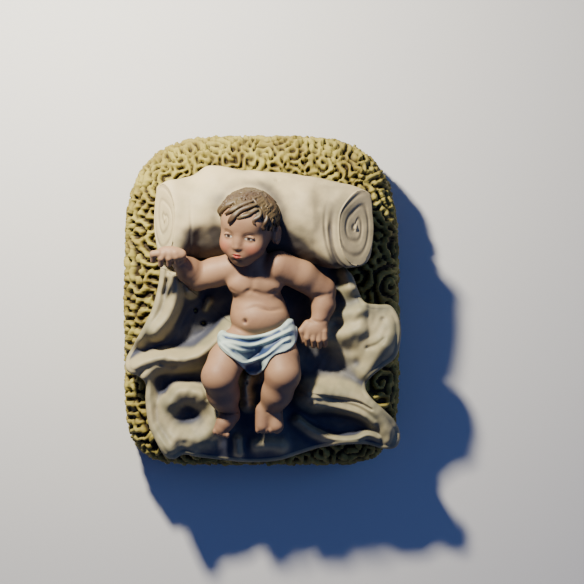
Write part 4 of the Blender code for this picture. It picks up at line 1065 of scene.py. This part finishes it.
# Swags: the line of each, how far it stands out (or sinks in), and half its width
SWAGS = (
    (((-4.9, -4.1), (-3.4, -4.5), (-1.4, -4.75), (0.8, -4.3), (2.8, -3.4), (4.0, -2.7)), 0.3, 0.26),
    (((-5.1, -4.8), (-3.4, -5.3), (-1.4, -5.75), (0.6, -5.15), (2.6, -4.3), (3.8, -3.8)), 0.55, 0.36),
    (((-4.4, -4.75), (-3.0, -5.0), (-1.2, -5.2), (0.6, -4.75), (2.4, -3.9)), -0.22, 0.2),
    (((-4.9, -5.3), (-3.6, -5.9), (-2.2, -6.35), (-0.8, -6.3)), 0.3, 0.25),
    (((-5.2, -5.5), (-4.1, -6.4), (-2.9, -7.5), (-2.0, -7.95), (-0.8, -7.6), (0.8, -6.8), (2.5, -5.4),
      (3.6, -4.9)), 0.45, 0.24),
    (((-3.4, -6.5), (-2.2, -7.0), (-0.9, -6.9), (0.6, -6.2), (2.2, -5.2)), -0.2, 0.45),
    (((-1.9, -8.7), (-0.9, -8.6), (0.1, -8.4)), -0.15, 0.5),
)


def inside_edge(flat, edge):
    """The distance to a closed line, below zero inside, where a ray crosses it an odd number of times."""
    line = smooth_line((*edge, edge[0]), 4)
    away, _ = distance_to_line(flat, line)
    odd = np.zeros(flat.shape[:-1], bool)
    for (ax, ay), (bx, by) in zip(line, line[1:]):
        spans = (ay > flat[..., 1]) != (by > flat[..., 1])
        cross_x = ax + (flat[..., 1] - ay) / (by - ay if by != ay else 1e-9) * (bx - ax)
        odd ^= spans & (flat[..., 0] < cross_x)
    return np.where(odd, -away, away)


WRAP_THICKNESS = 0.3
WRAP_UNDERSIDE = 2.2

wrap = Clay((-7.0, -11.2, 1.6), (6.6, -1.4, 11.8), 0.1)
grid = np.stack(np.meshgrid(*wrap.axes, indexing="ij"), axis=-1)
wrap.field[...] = body.at(grid.reshape(-1, 3)).reshape(wrap.field.shape) - WRAP_THICKNESS
flat = grid[:, :, 0, :2]
relief = np.zeros(flat.shape[:-1])
for line, height, width in SWAGS:
    away, _ = distance_to_line(flat, smooth_line(line, 4))
    relief += height * np.exp(-(away / width) ** 2)
wrap.limb(((-0.9, -6.0, 4.6), (-1.0, -7.6, 4.6), (-0.9, -9.0, 4.4)), (1.6, 1.7, 1.4), 0.8)
wrap.field -= relief[..., None].astype(np.float32)
edge_away = inside_edge(flat, WRAP_EDGE)[..., None]
wrap.field[...] = np.maximum(wrap.field, edge_away)
wrap.field[...] = np.maximum(wrap.field, WRAP_UNDERSIDE - grid[..., 2])
wrap.ball((-4.9, -4.7, 5.0), (0.7, 0.9, 0.8), 0.3)
wrap.ball((3.5, -4.1, 5.2), (1.0, 1.7, 1.2), 0.7)
wrap.field[...] = wrap.softened(1)


def painted_shadow_between_the_swags(points):
    """Painted shadow in the two sunk panels of the wrap, added to the wash: a sum of two soft spots,
    exp(-(x/a)^2 - (y/b)^2).
    """
    x, y = points[:, 0], points[:, 1]
    upper = np.exp(-((x + 0.2) / 2.4) ** 2 - ((y + 6.45) / 0.6) ** 2)
    lower = np.exp(-((x + 0.9) / 1.6) ** 2 - ((y + 8.8) / 0.75) ** 2)
    return 0.11 * (upper + lower)


# Painted shadow darkens the wrap's panel between the thighs and the sunk place above it.
loincloth = skinned("loincloth", wrap, 8, painted_shadow_between_the_swags)

# %% [markdown]
# ## Paint and wash
#
# The whole casting was painted in the same way. A flat coat of colour went on first, then a thin dark wash
# that ran into every hollow and was wiped off the high places. One node group does that for every colour:
# it mixes the coat with the wash by the attribute that holds the hollows, and breaks both up with noise at
# two scales. On the cloth, the roll and the loincloth that attribute also holds painted shade, so there the
# wash colour also darkens places where shadow falls.

# %% Helpers for materials
def colour(red, green, blue):
    """A colour as seen on a screen, from 0 to 1, made linear for the renderer."""
    seen = np.array((red, green, blue))
    linear = np.where(seen <= 0.04045, seen / 12.92, ((seen + 0.055) / 1.055) ** 2.4)
    return (*linear.tolist(), 1.0)


def node(tree, kind, place=(0, 0), **settings):
    made = tree.nodes.new(kind)
    made.location = place
    for name, value in settings.items():
        setattr(made, name, value)
    return made


def wire(tree, *rows):
    """Each row joins a node's output to a node's input: source, its output, target, its input."""
    for source, result, target, socket in rows:
        tree.links.new(source.outputs[result], target.inputs[socket])


# %% The wash as a node group
def wash_group():
    """The coat turns into the wash as hollow + (noise - 0.5) * (end - start) goes from start to end.

    The change is eased by a smoothstep. A second coat lies over the first in patches, and a fine grain
    breaks up the gloss.
    """
    tree = bpy.data.node_groups.new("Coat and wash", "ShaderNodeTree")
    face = tree.interface
    for name, kind, value in (
        ("Coat", "NodeSocketColor", (0.8, 0.8, 0.8, 1.0)),
        ("Second coat", "NodeSocketColor", (0.7, 0.7, 0.7, 1.0)),
        ("Wash", "NodeSocketColor", (0.1, 0.1, 0.1, 1.0)),
        ("Hollow", "NodeSocketFloat", 0.0),
        ("Hollow start", "NodeSocketFloat", 0.0),
        ("Hollow end", "NodeSocketFloat", 0.1),
        ("Mottle scale", "NodeSocketFloat", 500.0),
        ("Mottle amount", "NodeSocketFloat", 0.5),
        ("Grain scale", "NodeSocketFloat", 4000.0),
        ("Roughness low", "NodeSocketFloat", 0.4),
        ("Roughness high", "NodeSocketFloat", 0.6),
    ):
        socket = face.new_socket(name=name, in_out="INPUT", socket_type=kind)
        socket.default_value = value
    for name, kind in (("Colour", "Color"), ("Roughness", "Float"), ("Height", "Float")):
        face.new_socket(name=name, in_out="OUTPUT", socket_type="NodeSocket" + kind)
    given = node(tree, "NodeGroupInput", (-900, 0))
    out = node(tree, "NodeGroupOutput", (900, 0))
    place = node(tree, "ShaderNodeTexCoord", (-900, -400))
    mottle = node(tree, "ShaderNodeTexNoise", (-650, -250))
    grain = node(tree, "ShaderNodeTexNoise", (-650, -500))
    spread = node(tree, "ShaderNodeMapRange", (-400, -250), interpolation_type="SMOOTHSTEP")
    amount = node(tree, "ShaderNodeMath", (-200, -250), operation="MULTIPLY")
    coats = node(tree, "ShaderNodeMix", (0, 100), data_type="RGBA")
    shift = node(tree, "ShaderNodeMath", (-400, -700), operation="SUBTRACT")
    span = node(tree, "ShaderNodeMath", (-400, 250), operation="SUBTRACT")
    uneven = node(tree, "ShaderNodeMath", (-200, -700), operation="MULTIPLY_ADD")
    pool = node(tree, "ShaderNodeMapRange", (0, -400), interpolation_type="SMOOTHSTEP")
    washed_and_shaded = node(tree, "ShaderNodeMix", (300, 100), data_type="RGBA")
    gloss = node(tree, "ShaderNodeMapRange", (300, -300))
    height = node(tree, "ShaderNodeMath", (300, -550), operation="MULTIPLY_ADD")
    for made, socket, value in (
        (mottle, "Detail", 4.0), (grain, "Detail", 3.0), (spread, "From Min", 0.38),
        (spread, "From Max", 0.66), (shift, 1, 0.5), (height, 1, 0.35),
    ):
        made.inputs[socket].default_value = value

    # Two noises, one broad and one fine
    wire(tree, (place, "Object", mottle, "Vector"), (given, "Mottle scale", mottle, "Scale"),
         (place, "Object", grain, "Vector"), (given, "Grain scale", grain, "Scale"))
    # The second coat over the first, in patches
    wire(tree, (mottle, "Fac", spread, "Value"), (spread, "Result", amount, 0),
         (given, "Mottle amount", amount, 1), (amount, 0, coats, "Factor"),
         (given, "Coat", coats, "A"), (given, "Second coat", coats, "B"))
    # The wash, by the hollow plus noise as wide as the span from its start to its end
    wire(tree, (mottle, "Fac", shift, 0), (given, "Hollow end", span, 0), (given, "Hollow start", span, 1),
         (shift, 0, uneven, 0), (span, 0, uneven, 1), (given, "Hollow", uneven, 2),
         (uneven, 0, pool, "Value"), (given, "Hollow start", pool, "From Min"),
         (given, "Hollow end", pool, "From Max"), (pool, "Result", washed_and_shaded, "Factor"),
         (coats, "Result", washed_and_shaded, "A"), (given, "Wash", washed_and_shaded, "B"), (washed_and_shaded, "Result", out, "Colour"))
    # The fine grain in the gloss, and both noises in the height
    wire(tree, (grain, "Fac", gloss, "Value"), (given, "Roughness low", gloss, "To Min"),
         (given, "Roughness high", gloss, "To Max"), (gloss, "Result", out, "Roughness"),
         (grain, "Fac", height, 0), (mottle, "Fac", height, 2), (height, 0, out, "Height"))
    return tree


COAT_AND_WASH = wash_group()


# %% A painted finish
GRAIN_SCALE = 4000.0
BRUSH_RELIEF = 0.03 * MM


def painted(name, coat, second, wash, start, end, mottle, rough, shine, attribute="hollow"):
    """A material with the wash group on a Principled shader, and a shallow bump from the group's height."""
    material = bpy.data.materials.new(name)
    material.use_nodes = True
    tree = material.node_tree
    shader = tree.nodes["Principled BSDF"]
    layers = node(tree, "ShaderNodeGroup", (-500, 0), node_tree=COAT_AND_WASH)
    for socket, value in (("Coat", coat), ("Second coat", second), ("Wash", wash)):
        layers.inputs[socket].default_value = colour(*value)
    for socket, value in (("Hollow start", start), ("Hollow end", end), ("Mottle scale", mottle[0]),
                          ("Mottle amount", mottle[1]), ("Grain scale", GRAIN_SCALE),
                          ("Roughness low", rough[0]), ("Roughness high", rough[1])):
        layers.inputs[socket].default_value = value
    shader.inputs["Specular IOR Level"].default_value = shine
    hollow = node(tree, "ShaderNodeAttribute", (-750, 0), attribute_name=attribute)
    relief = node(tree, "ShaderNodeBump", (-250, -300))
    relief.inputs["Distance"].default_value = BRUSH_RELIEF
    wire(tree, (hollow, "Fac", layers, "Hollow"), (layers, "Colour", shader, "Base Color"),
         (layers, "Roughness", shader, "Roughness"), (layers, "Height", relief, "Height"),
         (relief, "Normal", shader, "Normal"))
    return material, tree, layers, shader


def finish(piece, material):
    piece.data.materials.append(material)
    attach(piece, "root")
    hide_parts(NODE)


# %% The straw's finish
straw_paint, *_ = painted("straw_paint", (0.54, 0.50, 0.25), (0.42, 0.36, 0.15), (0.16, 0.12, 0.04),
                          attribute="height", start=0.66, end=0.10, mottle=(300.0, 0.7), rough=(0.55, 0.8),
                          shine=0.2)
finish(straw, straw_paint)

# %% The cloth's finish
# The cloth's wash is a dark blue-grey, so that in its hollows and low places it also serves as painted shade.
cloth_paint, *_ = painted("cloth_paint", (0.56, 0.52, 0.40), (0.43, 0.42, 0.33), (0.20, 0.21, 0.26),
                          start=0.0, end=0.7, mottle=(220.0, 0.8), rough=(0.5, 0.7), shine=0.3)
# The roll's wash also carries the painted shade low on its front.
roll_paint, *_ = painted("roll_paint", (0.68, 0.62, 0.48), (0.60, 0.56, 0.43), (0.24, 0.22, 0.20),
                         start=0.0, end=1.0, mottle=(220.0, 0.7), rough=(0.5, 0.7), shine=0.3)
finish(cloth, cloth_paint)
finish(roll, roll_paint)

# %% The skin's finish
skin_paint, *_ = painted("skin_paint", (0.53, 0.41, 0.31), (0.46, 0.34, 0.26), (0.23, 0.13, 0.11),
                         start=0.02, end=0.16, mottle=(260.0, 0.8), rough=(0.5, 0.65), shine=0.3)
finish(child, skin_paint)

face_material, face_tree, face_layers, face_shader = painted(
    "face_paint", (0.53, 0.41, 0.31), (0.46, 0.34, 0.26), (0.23, 0.13, 0.11),
    start=0.02, end=0.14, mottle=(260.0, 0.8), rough=(0.5, 0.65), shine=0.3)


def brushed_on(tree, below, attribute, paint_colour, strength):
    """A colour laid over what is below (a node and its output) wherever the named mask is above zero."""
    mask = node(tree, "ShaderNodeAttribute", (-500, -700), attribute_name=attribute)
    much = node(tree, "ShaderNodeMath", (-300, -700), operation="MULTIPLY")
    much.inputs[1].default_value = strength
    mix = node(tree, "ShaderNodeMix", (-100, -700), data_type="RGBA")
    mix.inputs["B"].default_value = colour(*paint_colour)
    wire(tree, (mask, "Fac", much, 0), (much, 0, mix, "Factor"), (*below, mix, "A"))
    return mix, "Result"


layer = face_layers, "Colour"
for attribute, paint_colour, strength in (
    ("blush", (0.62, 0.32, 0.25), 0.45), ("lips", (0.56, 0.18, 0.15), 0.85),
    ("white", (0.66, 0.64, 0.60), 0.8), ("iris", (0.16, 0.10, 0.07), 1.0), ("line", (0.24, 0.14, 0.09), 0.9),
):
    layer = brushed_on(face_tree, layer, attribute, paint_colour, strength)
wire(face_tree, (*layer, face_shader, "Base Color"))
finish(child_head, face_material)

# %% The hair's and the loincloth's finish
hair_paint, *_ = painted("hair_paint", (0.30, 0.25, 0.16), (0.22, 0.15, 0.10), (0.08, 0.05, 0.035),
                         start=-0.03, end=0.08, mottle=(400.0, 0.8), rough=(0.4, 0.55), shine=0.35)
finish(child_hair, hair_paint)
wrap_paint, *_ = painted("loincloth_paint", (0.64, 0.70, 0.66), (0.54, 0.61, 0.60), (0.17, 0.23, 0.36),
                         start=-0.03, end=0.11, mottle=(350.0, 0.7), rough=(0.4, 0.55), shine=0.35)
finish(loincloth, wrap_paint)

# %% [markdown]
# ## Floor, light and camera
#
# The piece lies on a plain pale floor. A small warm lamp stands close by at the upper left, some 45 degrees
# up, so that every form throws a clear shadow towards the feet, and the light falls off to the lower right.
# A wide cool lamp on the right and a dim blue sky leave the shadows deep and bluish. The camera looks
# straight down from far away through a long lens, which keeps the sides upright.

# %% The floor
FLOOR_HALF = 2.0


def floor():
    mesh = bpy.data.meshes.new("floor")
    corners = [(x * FLOOR_HALF, y * FLOOR_HALF, 0.0) for x, y in ((-1, -1), (1, -1), (1, 1), (-1, 1))]
    mesh.from_pydata(corners, [], [(0, 1, 2, 3)])
    made = bpy.data.objects.new("floor", mesh)
    bpy.context.scene.collection.objects.link(made)
    material = bpy.data.materials.new("floor_paint")
    material.use_nodes = True
    shader = material.node_tree.nodes["Principled BSDF"]
    shader.inputs["Base Color"].default_value = colour(0.72, 0.72, 0.72)
    shader.inputs["Roughness"].default_value = 0.8
    mesh.materials.append(material)


floor()


# %% The lamps
def lamp(name, direction, distance, size, watts, tint):
    """A square area lamp that shines at the middle of the piece from the given direction, in metres."""
    light = bpy.data.lights.new(name, "AREA")
    light.size = size
    light.energy = watts
    light.color = tint
    made = bpy.data.objects.new(name, light)
    away = Vector(direction).normalized()
    made.location = away * distance
    made.rotation_euler = away.to_track_quat("Z", "Y").to_euler()
    bpy.context.scene.collection.objects.link(made)


lamp("key", (-0.40, 0.68, 0.80), 0.112, 0.009, 0.5, (1.0, 0.92, 0.75))
lamp("fill", (0.7, 0.1, 0.7), 0.8, 0.5, 1.1, (0.25, 0.44, 1.0))

world = bpy.data.worlds.new("studio")
world.use_nodes = True
world.node_tree.nodes["Background"].inputs["Color"].default_value = (0.20, 0.32, 1.0, 1.0)
world.node_tree.nodes["Background"].inputs["Strength"].default_value = 0.22
bpy.context.scene.world = world

# %% The camera
PHOTO_PIXELS = 584
PIXELS_PER_MM = 7.75
VIEW_MIDDLE = (4.0, 1.1)
CAMERA_DISTANCE = 400.0
FOCUS_HEIGHT = 12.0
SENSOR_WIDTH = 36.0

camera_data = bpy.data.cameras.new("camera")
camera_data.sensor_width = SENSOR_WIDTH
camera_data.lens = SENSOR_WIDTH * CAMERA_DISTANCE / (PHOTO_PIXELS / PIXELS_PER_MM)
camera_data.clip_end = 10.0
camera = bpy.data.objects.new("camera", camera_data)
camera.location = (VIEW_MIDDLE[0] * MM, VIEW_MIDDLE[1] * MM, (CAMERA_DISTANCE + FOCUS_HEIGHT) * MM)
bpy.context.scene.collection.objects.link(camera)
bpy.context.scene.camera = camera
print(f"lens {camera_data.lens:.0f} mm")

# %% The end
bpy.context.view_layer.update()
